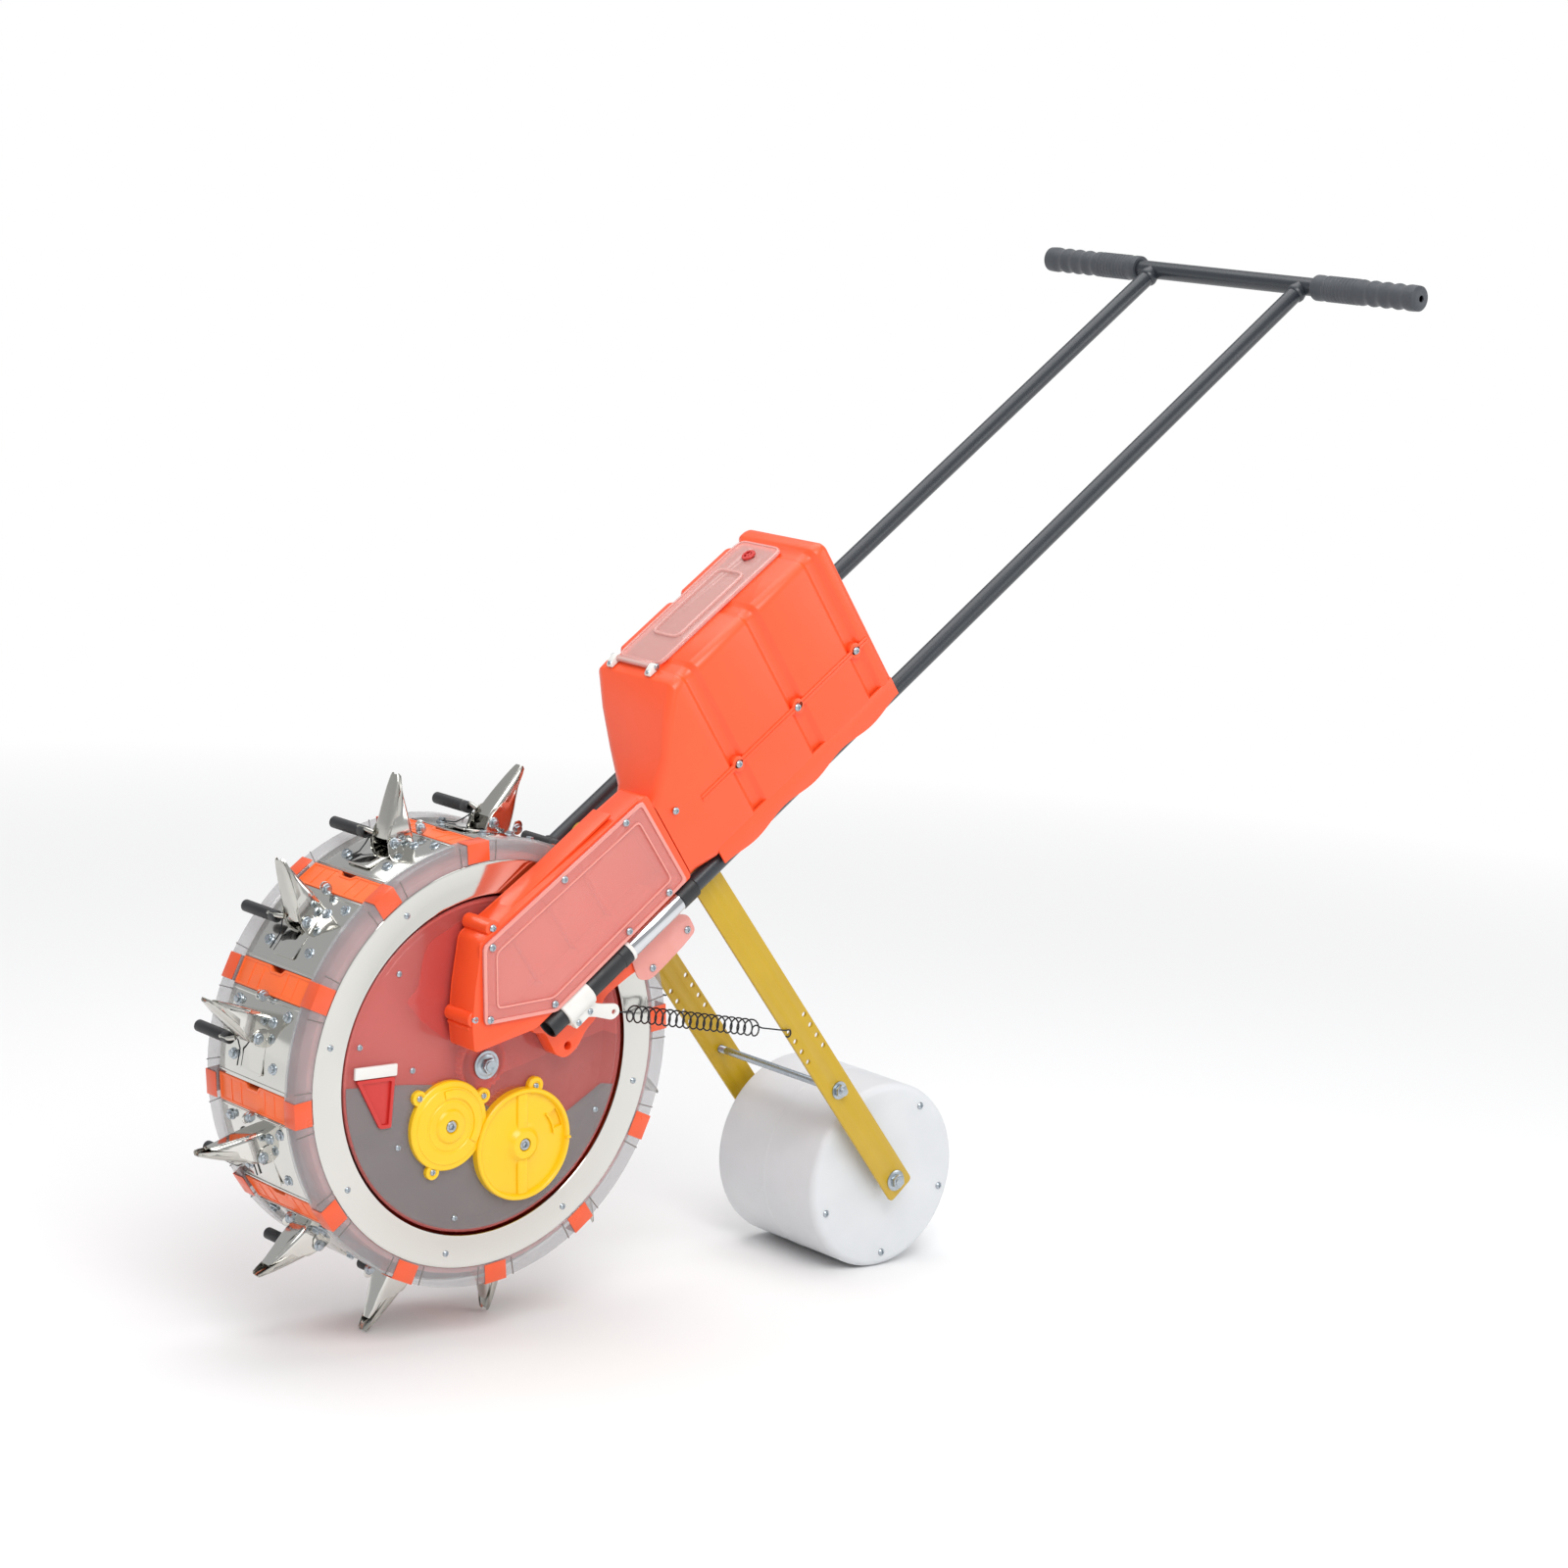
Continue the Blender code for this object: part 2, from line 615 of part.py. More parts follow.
def handle_pieces(handle, looks):
    tube_in = TUBE_R - TUBE_WALL
    cope = rod(BAR_T, 0, BAR_R + GAP, -GRIP_END, GRIP_END, 24)
    for side, name in ((-1, "left"), (1, "right")):
        at = (0, side * TUBE_Y, TUBE_RISE)
        tube = combine(pipe(TUBE_R, tube_in, TUBE_START, BAR_T, 20), "DIFFERENCE", cope)
        inboard = -side * (TUBE_R - MATE / 2)
        stud_end = -side * (TUBE_Y - ARM_Y + ARM_WALL / 2 + 0.0015)
        stud = rod(ARM_T, 0, ARM_STUD_R, min(inboard, stud_end), max(inboard, stud_end), 12)
        piece(f"handle_tube_{name}", combine(tube, "UNION", stud), looks["black"], handle, at=at)
        socket = pipe(SOCKET_R, TUBE_FIT_R, SOCKET_START, SOCKET_END, 20)
        piece(f"tube_socket_{name}", socket, looks["rubber"], handle, at=at)
        sleeve = pipe(SLEEVE_TUBE_R, TUBE_FIT_R, SOCKET_END + GAP, SLEEVE_TUBE_END, 20)
        piece(f"tube_sleeve_{name}", sleeve, looks["chrome"], handle, at=at)
        piece(f"spring_clamp_{name}", spring_clamp_mesh(), looks["white"], handle, at=at)
        grip = ring(
            [(BAR_R + GAP, GRIP_START), (GRIP_R, GRIP_START), (GRIP_R, GRIP_END), (0.004, GRIP_END),
             (0.004, BAR_HALF + GAP), (BAR_R + GAP, BAR_HALF + GAP)],
            even(20),
        )
        grip = grip if side > 0 else swapped(grip)
        piece(f"grip_{name}", grip, looks["grip"], handle, at=(BAR_T, 0, TUBE_RISE))
    bar_in = BAR_R - TUBE_WALL
    bar = ring([(bar_in, -BAR_HALF), (BAR_R, -BAR_HALF), (BAR_R, BAR_HALF), (bar_in, BAR_HALF)], even(24))
    piece("handle_crossbar", bar, looks["black"], handle, at=(BAR_T, 0, TUBE_RISE))


def spring_clamp_mesh():
    """A band round the socket with an ear below it, drilled for the spring's hook."""
    band = pipe(CLAMP_R, SOCKET_R + GAP, CLAMP_START, CLAMP_END, 20)
    low = -CLAMP_R + MATE
    ear = [
        (CLAMP_START + 0.012, low),
        (CLAMP_END - 0.001, low),
        (CLAMP_END + 0.004, low - 0.008),
        (EAR_T + 0.009, EAR_N + 0.004),
        (EAR_T + 0.006, EAR_N - 0.007),
        (EAR_T - 0.006, EAR_N - 0.007),
        (CLAMP_END - 0.008, low - 0.016),
    ]
    plate = prism(ear, -EAR_WALL / 2, EAR_WALL / 2)
    hole = rod(EAR_T, EAR_N, 0.0025, -0.01, 0.01, 10)
    return combine(combine(band, "UNION", plate), "DIFFERENCE", hole)


def hopper_sections():
    """(t, left, right, top) from the neck to the rear wall."""
    step = HOPPER_FRONT + 0.035
    share = 0.45
    middle_right = NECK_RIGHT + (HOPPER_RIGHT - NECK_RIGHT) * share
    middle_top = NECK_TOP + (HOPPER_TOP - NECK_TOP) * 0.36
    return [
        (HOPPER_FRONT, NECK_LEFT, NECK_RIGHT, NECK_TOP),
        (step, HOPPER_LEFT, middle_right, middle_top),
        (HOPPER_SHOULDER, HOPPER_LEFT, HOPPER_RIGHT, HOPPER_TOP),
        (HOPPER_REAR, HOPPER_LEFT, HOPPER_RIGHT, HOPPER_TOP),
    ]


def hopper_solid(low, shrink):
    """The hopper's bulk from z = low up, with every wall moved in by shrink."""
    rings = []
    sections = hopper_sections()
    for i, (t, left, right, top) in enumerate(sections):
        if i == 0:
            t -= shrink * 2
        if i == len(sections) - 1:
            t -= shrink
        x0, x1 = left + shrink, right - shrink
        rings.append([(t, x0, low), (t, x1, low), (t, x1, top - shrink), (t, x0, top - shrink)])
    return loft(rings)


def hopper_pieces(handle, looks):
    lid_hole = block(
        LID_FRONT + LID_LAP, LID_REAR - LID_LAP, LID_LEFT + LID_LAP, LID_RIGHT - LID_LAP,
        HOPPER_TOP - 0.01, HOPPER_TOP + 0.01,
    )
    upper = hopper_solid(HOPPER_SEAM, 0.0)
    upper = combine(upper, "DIFFERENCE", hopper_solid(HOPPER_SEAM - 0.02, HOPPER_WALL), lid_hole)
    piece("hopper_upper_shell", upper, looks["orange"], handle, at=(0, 0, TUBE_RISE))

    lower = hopper_solid(HOPPER_FLOOR, 0.0)
    above = block(0.0, 2.0, HOPPER_LEFT - 0.1, HOPPER_RIGHT + 0.1, HOPPER_SEAM - GAP, HOPPER_TOP + 0.1)
    hollow = hopper_solid(HOPPER_FLOOR + HOPPER_WALL, HOPPER_WALL)
    lower = combine(lower, "DIFFERENCE", hollow, above)
    skirt = block(
        HOPPER_FRONT + 0.0360, HOPPER_REAR - 0.002, HOPPER_LEFT - 0.0005, HOPPER_LEFT + HOPPER_WALL - 0.0005,
        SKIRT_BOTTOM, HOPPER_FLOOR + 0.010,
    )
    lower = combine(lower, "UNION", skirt)
    piece("hopper_lower_shell", lower, looks["orange"], handle, at=(0, 0, TUBE_RISE))

    # Lid, turning on a pin across its front edge.
    lid_low = HOPPER_TOP + GAP
    pin_z = lid_low + KNUCKLE_R
    corner = 0.014
    half = (LID_RIGHT - LID_LEFT) / 2
    rear = LID_REAR - LID_FRONT
    plan = [(0.004, -half), (0.004, half)]
    plan += arc(rear - corner, half - corner, corner, pi / 2, 0, 4)
    plan += arc(rear - corner, -half + corner, corner, 0, -pi / 2, 4)
    plate = loft([[(x, y, -KNUCKLE_R + LID_WALL) for x, y in plan], [(x, y, -KNUCKLE_R) for x, y in plan]])
    knuckle = rod(0, 0, KNUCKLE_R, -half + 0.008, half - 0.008, 14)
    bore = rod(0, 0, PIN_R + RUN, -half, half, 12)
    web_low, web_high = -KNUCKLE_R + 0.0003, -KNUCKLE_R + LID_WALL - 0.0003
    web = block(0.0025, 0.006, -half + 0.008, half - 0.008, web_low, web_high)
    lid = combine(combine(plate, "UNION", knuckle, web), "DIFFERENCE", bore)
    hinge = frame("lid_axis", handle, at=(LID_FRONT, (LID_LEFT + LID_RIGHT) / 2, TUBE_RISE + pin_z))
    piece("hopper_lid", lid, looks["clear"], hinge)

    ends = []
    post = 0.006
    for side in (-1, 1):
        inner = side * (half - 0.008 + RUN)
        outer = side * (half - 0.008 + RUN + post)
        y0, y1 = min(inner, outer), max(inner, outer)
        ends.append(block(-0.012, 0.0024, y0, y1, -KNUCKLE_R, 0.003))
    pin = rod(0, 0, PIN_R, -half + 0.005, half - 0.005, 10)
    piece("lid_hinge", combine(pin, "UNION", *ends), looks["white"], hinge)


def chute_outline():
    """Side outline of the chute's cover, in the handle's own axes above the tube."""
    return [
        (CHUTE_END - 0.0095, CHUTE_FLOOR + 0.004),
        (CHUTE_END - 0.0110, NECK_TOP + 0.013),
        (0.044, 0.138),
        (0.000, 0.066),
        (0.079, CHUTE_FLOOR + 0.0005),
    ]


def grown(outline, by):
    """The outline with each side moved out by the given distance."""
    if signed_area(outline) < 0:
        outline = outline[::-1]
    made = []
    count = len(outline)
    for i in range(count):
        before, here, after = Vector(outline[i - 1]), Vector(outline[i]), Vector(outline[(i + 1) % count])
        first = (here - before).normalized()
        second = (after - here).normalized()
        out_first = Vector((first.y, -first.x))
        out_second = Vector((second.y, -second.x))
        corner = (out_first + out_second).normalized()
        made.append(tuple(here + corner * by / corner.dot(out_first)))
    return made


def chute_pieces(handle, looks):
    outline = chute_outline()
    body = [
        (CHUTE_END, CHUTE_FLOOR),
        (CHUTE_END, NECK_TOP + 0.0125),
        (0.048, 0.142),
        (0.012, 0.103),
        (-0.012, 0.072),
        (-0.025, 0.0464),
        (0.050, CHUTE_FLOOR + 0.0003),
    ]
    box = prism(body, CHUTE_FACE, CHUTE_BACK)
    cradle = prism(
        [
            (0.052, 0.030),
            (0.055, -0.006),
            (0.066, -0.014),
            (0.064, -0.046),
            (0.072, -0.058),
            (0.090, -0.059),
            (0.110, -0.050),
            (0.126, -0.049),
            (0.150, -0.036),
            (0.190, -0.040),
            (0.205, -0.060),
            (0.226, -0.061),
            (CRADLE_END - 0.006, -0.052),
            (CRADLE_END, -0.040),
            (CRADLE_END, 0.030),
        ],
        CRADLE_FACE,
        CHUTE_BACK + 0.0006,
    )
    rib_face = -(TUBE_Y - SOCKET_R - GAP)
    ribs = [
        block(SOCKET_START + 0.004, CLAMP_START - 0.004, rib_face, CRADLE_FACE + MATE, -0.008, 0.008),
        block(CLAMP_END + 0.004, SOCKET_END - 0.004, rib_face, CRADLE_FACE + MATE, -0.008, 0.008),
    ]
    bosses = [rod(0.066, 0.1435, 0.0085, CHUTE_FACE + 0.002, CHUTE_BACK + 0.001, 14)]
    bosses.append(rod(-0.0045, 0.0760, 0.0085, CHUTE_FACE + 0.003, CHUTE_BACK + 0.001, 14))
    whole = combine(box, "UNION", cradle, *ribs, *bosses)
    inside = grown(outline, -CHUTE_WALL - 0.003)
    hollow = prism(inside, CHUTE_FACE - 0.01, CHUTE_BACK - CHUTE_WALL)
    clamp = along_x(rod(0, 0, CLAMP_R + RUN, CLAMP_START - RUN, CLAMP_END + RUN, 20))
    moved(clamp, y=-TUBE_Y)
    throat = block(
        CHUTE_END - 0.030, CHUTE_END + 0.010, NECK_LEFT + 0.004, CHUTE_BACK - CHUTE_WALL,
        CHUTE_FLOOR + 0.0125, NECK_TOP - 0.006,
    )
    holes = [
        rod(0.066, 0.1435, 0.0035, -0.2, -0.115, 10),
        rod(-0.0045, 0.0760, 0.0035, -0.2, -0.115, 10),
        rod(0.0816, -0.0475, 0.0045, -0.2, 0.0, 10),
    ]
    whole = combine(whole, "DIFFERENCE", hollow, throat, together(holes), clamp)
    piece("chute_body", whole, looks["orange"], handle, at=(0, 0, TUBE_RISE))

    inside, outside = CHUTE_FACE - GAP, CHUTE_FACE - GAP - COVER_WALL
    cover = prism(outline, outside, inside)
    raised = prism(grown(outline, -0.014), outside - 0.0025, outside + MATE)
    sunk = prism(grown(outline, -0.0165), inside - 0.003, CHUTE_FACE + 0.002)
    cover = combine(combine(cover, "UNION", raised), "DIFFERENCE", sunk, clamp)
    piece("chute_cover", cover, looks["rose"], handle, at=(0, 0, TUBE_RISE))


def ground_level():
    return -TIP_R * cos(PITCH / 2)


def arm_drop():
    """How far the arm points below level, so that the roller stands on the same ground as the beaks."""
    pivot_z = ARM_T * sin(TILT) + TUBE_RISE * cos(TILT)
    return asin((pivot_z - (ground_level() + ROLLER_R)) / ARM_LENGTH)


def arm_mesh():
    end = ARM_LENGTH + ARM_NOSE
    rounding = end - ARM_ROUNDING
    bend, bend_half = end - ARM_ROUNDING / 3, ARM_HALF * ARM_BEND_SHARE
    outline = [
        (-ARM_HEEL, ARM_HEEL_HALF),
        (-ARM_HEEL, -ARM_HEEL_HALF),
        (ARM_SHOULDER, -ARM_HALF),
        (rounding, -ARM_HALF),
        (bend, -bend_half),
        (end, 0.0),
        (bend, bend_half),
        (rounding, ARM_HALF),
        (ARM_SHOULDER, ARM_HALF),
    ]
    plate = prism(outline, -ARM_WALL / 2, ARM_WALL / 2)
    reach = (-0.02, 0.02)
    cuts = [
        rod(0, 0, ARM_STUD_R + RUN, *reach, 12),
        rod(CROSS_ROD_X, 0, CROSS_ROD_R + GAP, *reach, 12),
        rod(ARM_LENGTH, 0, ROLLER_AXLE_R + GAP, *reach, 16),
    ]
    for row in (-1, 1):
        for hole in range(HOLES):
            cuts.append(rod(HOLE_FIRST + hole * HOLE_PITCH, row * HOLE_ROW, HOLE_R, *reach, 8))
    return combine(plate, "DIFFERENCE", together(cuts))


def roller_mesh():
    """Hollow drum with rounded shoulders; the bores in its two end walls leave the inside open."""
    bore = ROLLER_AXLE_R + RUN
    far = ROLLER_HALF
    wall = ROLLER_WALL
    fillet = ROLLER_FILLET
    inner = ROLLER_R - wall
    right = arc(ROLLER_R - fillet, far - fillet, fillet, 0, pi / 2, 2)
    right += [(bore, far), (bore, far - wall), (inner - fillet / 2, far - wall), (inner, far - wall - fillet / 2)]
    left = [(r, -y) for r, y in right][::-1]
    return ring(right + left, even(48))


def press_pieces(machine, looks):
    drop = arm_drop()
    pivot = (ARM_T * cos(TILT) - TUBE_RISE * sin(TILT), 0, ARM_T * sin(TILT) + TUBE_RISE * cos(TILT))
    arms = frame("press_arm_axis", machine, at=pivot, turn=-drop)
    piece("press_arm_left", arm_mesh(), looks["mustard"], arms, at=(0, -ARM_Y, 0))
    piece("press_arm_right", arm_mesh(), looks["mustard"], arms, at=(0, ARM_Y, 0))
    outside = ARM_Y + ARM_WALL / 2
    rod_end = outside + ROD_END
    cross = rod(0, 0, CROSS_ROD_R, -rod_end, rod_end, 12)
    nuts = []
    for side in (-1, 1):
        near, away = side * (outside + GAP), side * (outside + ROD_NUT)
        nuts.append(rod(0, 0, ROD_NUT_R, min(near, away), max(near, away), 6))
    piece("cross_rod", combine(cross, "UNION", *nuts), looks["zinc"], arms, at=(CROSS_ROD_X, 0, 0))
    spindle = rod(0, 0, ROLLER_AXLE_R, -outside - SPINDLE_END, outside + SPINDLE_END, 16)
    heads = []
    for side in (-1, 1):
        near, away = side * (outside + GAP), side * (outside + SPINDLE_HEAD)
        heads.append(rod(0, 0, SPINDLE_HEAD_R, min(near, away), max(near, away), 6))
    roller_axis = frame("roller_axis", arms, at=(ARM_LENGTH, 0, 0))
    piece("roller_axle", combine(spindle, "UNION", *heads), looks["zinc"], roller_axis)
    piece("press_roller", roller_mesh(), looks["roller"], roller_axis)

    # Springs run from the clamps' ears to the arms' first lower holes.
    ear_x, ear_z = turned_by(TILT, EAR_T, EAR_N + TUBE_RISE)
    hole_x, hole_z = turned_by(-drop, HOLE_FIRST, -HOLE_ROW)
    for side, name in ((-1, "left"), (1, "right")):
        ear = Vector((ear_x, side * TUBE_Y, ear_z))
        hole = Vector((hole_x + pivot[0], side * (outside + SPRING_WIRE), hole_z + pivot[2]))
        piece(f"press_spring_{name}", spring_mesh(ear, hole), looks["black"], machine)


def turned_by(angle, x, z):
    return x * cos(angle) - z * sin(angle), x * sin(angle) + z * cos(angle)


def spring_mesh(ear, hole):
    """The outer shape of a tension spring from one hole to the other, with straight wire at both ends."""
    along = (hole - ear).normalized()
    side = along.cross(Vector((0, 1, 0))).normalized()
    up = along.cross(side)
    length = (hole - ear).length
    wire = SPRING_WIRE / 2
    profile = [
        (wire, EAR_SHORT),
        (wire, SPRING_LEAD),
        (SPRING_R, SPRING_LEAD + MATE),
        (SPRING_R, length - SPRING_TAIL - MATE),
        (wire, length - SPRING_TAIL),
        (wire, length - HOOK_SHORT),
    ]
    rings = []
    for radius, reach in profile:
        middle = ear + along * reach
        rings.append([middle + side * radius * cos(a) + up * radius * sin(a) for a in even(12)])
    return loft(rings)


def stand_on_ground(machine):
    """Puts the middle of the whole's plan over the origin and its lowest point at z = 0."""
    bpy.context.view_layer.update()
    corners = []
    for made in bpy.context.scene.collection.objects:
        if made.type == "MESH":
            corners += [made.matrix_world @ vertex.co for vertex in made.data.vertices]
    low = [min(corner[i] for corner in corners) for i in range(3)]
    high = [max(corner[i] for corner in corners) for i in range(3)]
    machine.location = (-(low[0] + high[0]) / 2, -(low[1] + high[1]) / 2, -low[2])


def build():
    for old in list(bpy.data.objects):
        bpy.data.objects.remove(old)
    looks = {
        "orange": finish("orange_plastic", (0.90, 0.11, 0.03), 0.38),
        "clear": finish("clear_plastic", (0.72, 0.72, 0.73), 0.12, see_through=0.7),
        "rose": finish("rose_clear_plastic", (0.80, 0.20, 0.17), 0.12, see_through=0.5),
        "bright": finish("polished_stainless", (0.75, 0.75, 0.74), 0.12, 1.0),
        "steel": finish("stainless_steel", (0.62, 0.62, 0.61), 0.25, 1.0),
        "zinc": finish("zinc_plated_steel", (0.62, 0.66, 0.70), 0.30, 1.0),
        "chrome": finish("chromed_steel", (0.65, 0.66, 0.68), 0.08, 1.0),
        "yellow": finish("yellow_plastic", (0.90, 0.55, 0.01), 0.42),
        "white": finish("white_plastic", (0.80, 0.80, 0.79), 0.42),
        "roller": finish("white_roller_plastic", (0.74, 0.75, 0.76), 0.35),
        "black": finish("black_painted_steel", (0.025, 0.030, 0.036), 0.35),
        "rubber": finish("black_plastic", (0.020, 0.020, 0.022), 0.45),
        "grip": finish("grip_rubber", (0.050, 0.055, 0.065), 0.60),
        "mustard": finish("mustard_painted_steel", (0.52, 0.33, 0.0), 0.42),
    }
    machine = frame("machine", None)
    handle = frame("handle_axis", machine, turn=TILT)
    handle_pieces(handle, looks)
    hopper_pieces(handle, looks)
    chute_pieces(handle, looks)
    side_pieces(handle, looks)
    gear_pieces(handle, looks)
    drum_pieces(machine, looks)
    press_pieces(machine, looks)
    stand_on_ground(machine)


build()
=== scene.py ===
import json
import math

import bpy
from mathutils import Matrix, Vector


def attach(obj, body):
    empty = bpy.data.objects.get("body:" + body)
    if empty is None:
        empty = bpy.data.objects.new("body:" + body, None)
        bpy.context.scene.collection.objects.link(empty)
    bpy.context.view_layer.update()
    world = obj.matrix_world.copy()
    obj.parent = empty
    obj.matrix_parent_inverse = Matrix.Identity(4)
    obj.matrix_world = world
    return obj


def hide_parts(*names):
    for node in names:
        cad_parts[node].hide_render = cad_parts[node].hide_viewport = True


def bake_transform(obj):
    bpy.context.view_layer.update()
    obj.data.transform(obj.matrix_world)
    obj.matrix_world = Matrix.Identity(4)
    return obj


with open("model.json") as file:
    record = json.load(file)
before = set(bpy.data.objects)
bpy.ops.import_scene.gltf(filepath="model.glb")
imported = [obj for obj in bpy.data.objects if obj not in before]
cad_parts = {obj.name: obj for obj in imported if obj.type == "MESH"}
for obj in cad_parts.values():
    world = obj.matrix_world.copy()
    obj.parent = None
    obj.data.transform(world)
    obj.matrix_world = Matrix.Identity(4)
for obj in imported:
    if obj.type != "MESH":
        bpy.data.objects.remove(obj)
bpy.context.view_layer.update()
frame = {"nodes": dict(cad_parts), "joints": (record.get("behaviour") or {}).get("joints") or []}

print("frame loaded:", len(frame["nodes"]), "nodes")

# Places that the frame gives: joints, and the turns that follow from them.
jointPlace = {joint["name"]: Vector(joint["pos_m"]) for joint in frame["joints"]}
axle = jointPlace["drum_spin"]
armPivot = jointPlace["press_arm_swing"]
rollerAxis = jointPlace["roller_spin"]
lidAxis = jointPlace["lid_swing"]
tilt = math.radians(36.7)  # of the handle tubes
armTurn = math.atan2(rollerAxis.z - armPivot.z, rollerAxis.x - armPivot.x)
armLength = (rollerAxis - armPivot).length
pivotLag = math.radians(1.0)
tubeRise = 0.0084  # the tubes' axis passes this far above the axle
tubeSpread = 0.1235
hub = {"handle": (axle, tilt), "arm": (armPivot, armTurn)}
hub["tube"] = (axle + Vector((-math.sin(tilt), 0, math.cos(tilt))) * tubeRise, tilt)
hub["roller"] = (rollerAxis, armTurn)
hub["lid"] = (lidAxis, tilt)
stations = []
for number in range(1, 13):
    away = jointPlace[f"beak_{number:02d}_open"] - axle
    stations.append(math.atan2(away.z, away.x) + pivotLag)
pitch = math.radians(30)


def turnedPoint(turn, x, z):
    return x * math.cos(turn) - z * math.sin(turn), x * math.sin(turn) + z * math.cos(turn)


def worldPoint(where, x, y, z):
    origin, turn = where
    dx, dz = turnedPoint(turn, x, z)
    return origin + Vector((dx, y, dz))


# Helpers that work as by hand: one piece active, edges and faces picked by place or normal.

def pick(piece):
    bpy.ops.object.select_all(action="DESELECT")
    piece.select_set(True)
    bpy.context.view_layer.objects.active = piece


def leaveEdit():
    bpy.ops.object.mode_set(mode="OBJECT")


def startVertex(name, at):
    # a plane merged to the one vertex that an outline is extruded from
    bpy.ops.object.select_all(action="DESELECT")
    bpy.ops.mesh.primitive_plane_add(size=0.01)
    piece = bpy.context.active_object
    piece.name = name
    bpy.ops.object.mode_set(mode="EDIT")
    bpy.ops.mesh.select_mode(type="VERT")
    bpy.ops.mesh.select_all(action="SELECT")
    bpy.ops.mesh.merge(type="CENTER")
    bpy.ops.transform.translate(value=at)
    return piece


def traced(name, points):
    # an open chain of edges through the points, left in edit mode with everything selected
    piece = startVertex(name, points[0])
    last = Vector(points[0])
    for point in points[1:]:
        step = Vector(point) - last
        bpy.ops.mesh.extrude_region_move(TRANSFORM_OT_translate={"value": step})
        last = Vector(point)
    bpy.ops.mesh.select_all(action="SELECT")
    return piece


def tidyMesh(reach=1e-6):
    bpy.ops.mesh.select_all(action="SELECT")
    bpy.ops.mesh.remove_doubles(threshold=reach)
    bpy.ops.mesh.normals_make_consistent(inside=False)


def turnedPiece(name, profile, steps=64, along="Y"):
    # a closed profile of (radius, reach) points spun right round X or Y
    if along == "Y":
        points = [(radius, reach, 0) for radius, reach in profile]
        axis = (0, 1, 0)
    else:
        points = [(reach, radius, 0) for radius, reach in profile]
        axis = (1, 0, 0)
    piece = traced(name, points + points[:1])
    bpy.ops.mesh.spin(steps=steps, angle=2 * math.pi, center=(0, 0, 0), axis=axis)
    tidyMesh()
    leaveEdit()
    return smooth(piece)


def smooth(piece, degrees=32):
    pick(piece)
    bpy.ops.object.shade_smooth_by_angle(angle=math.radians(degrees))
    return piece


def useModifier(piece, kind, **settings):
    pick(piece)
    step = piece.modifiers.new(kind.title(), kind)
    for key, value in settings.items():
        setattr(step, key, value)
    bpy.ops.object.modifier_apply(modifier=step.name)
    return piece


def rounded(piece, width, segments=2, degrees=35):
    useModifier(
        piece, "BEVEL", width=width, segments=segments, limit_method="ANGLE",
        angle_limit=math.radians(degrees), use_clamp_overlap=True,
    )
    return smooth(piece)


def cutAway(piece, *cutters):
    for cutter in cutters:
        useModifier(piece, "BOOLEAN", operation="DIFFERENCE", object=cutter, solver="EXACT")
        bpy.data.objects.remove(cutter)
    return piece


def joined(name, pieces):
    pick(pieces[0])
    for piece in pieces[1:]:
        piece.select_set(True)
    bpy.ops.object.join()
    whole = bpy.context.active_object
    whole.name = name
    whole.data.name = name
    return whole


def block(name, low, high, edge=0.0, segments=2):
    middle = [(a + b) / 2 for a, b in zip(low, high)]
    size = [b - a for a, b in zip(low, high)]
    bpy.ops.object.select_all(action="DESELECT")
    bpy.ops.mesh.primitive_cube_add(size=1, location=middle, scale=size)
    piece = bpy.context.active_object
    piece.name = name
    bpy.ops.object.transform_apply(location=True, rotation=True, scale=True)
    return rounded(piece, edge, segments) if edge else smooth(piece)


def rod(name, x, z, radius, y0, y1, sides=32, edge=0.0, turn=0.0):
    bpy.ops.object.select_all(action="DESELECT")
    bpy.ops.mesh.primitive_cylinder_add(
        vertices=sides, radius=radius, depth=abs(y1 - y0),
        location=(x, (y0 + y1) / 2, z), rotation=(math.pi / 2, turn, 0),
    )
    piece = bpy.context.active_object
    piece.name = name
    bpy.ops.object.transform_apply(location=True, rotation=True, scale=True)
    return rounded(piece, edge) if edge else smooth(piece)


def sheet(name, loops, y0, y1, edge=0.0005, segments=2):
    # flat outline (first loop) with its holes, given a thickness and rounded edges, upright from y0 to y1
    thick = abs(y1 - y0)
    edge = min(edge, thick * 0.45)
    curve = bpy.data.curves.new(name, "CURVE")
    curve.dimensions = "2D"
    curve.fill_mode = "BOTH"
    curve.extrude = thick / 2 - edge
    curve.bevel_depth = edge
    curve.bevel_resolution = segments - 1
    curve.offset = -edge
    for loop in loops:
        spline = curve.splines.new("POLY")
        spline.points.add(len(loop) - 1)
        for point, (x, z) in zip(spline.points, loop):
            point.co = (x, z, 0, 1)
        spline.use_cyclic_u = True
    piece = bpy.data.objects.new(name, curve)
    bpy.context.scene.collection.objects.link(piece)
    pick(piece)
    bpy.ops.object.convert(target="MESH")
    piece = bpy.context.active_object
    piece.rotation_euler = (math.pi / 2, 0, 0)
    piece.location = (0, (y0 + y1) / 2, 0)
    bpy.ops.object.transform_apply(location=True, rotation=True, scale=True)
    bpy.ops.object.mode_set(mode="EDIT")
    tidyMesh(1e-5)
    leaveEdit()
    return smooth(piece)


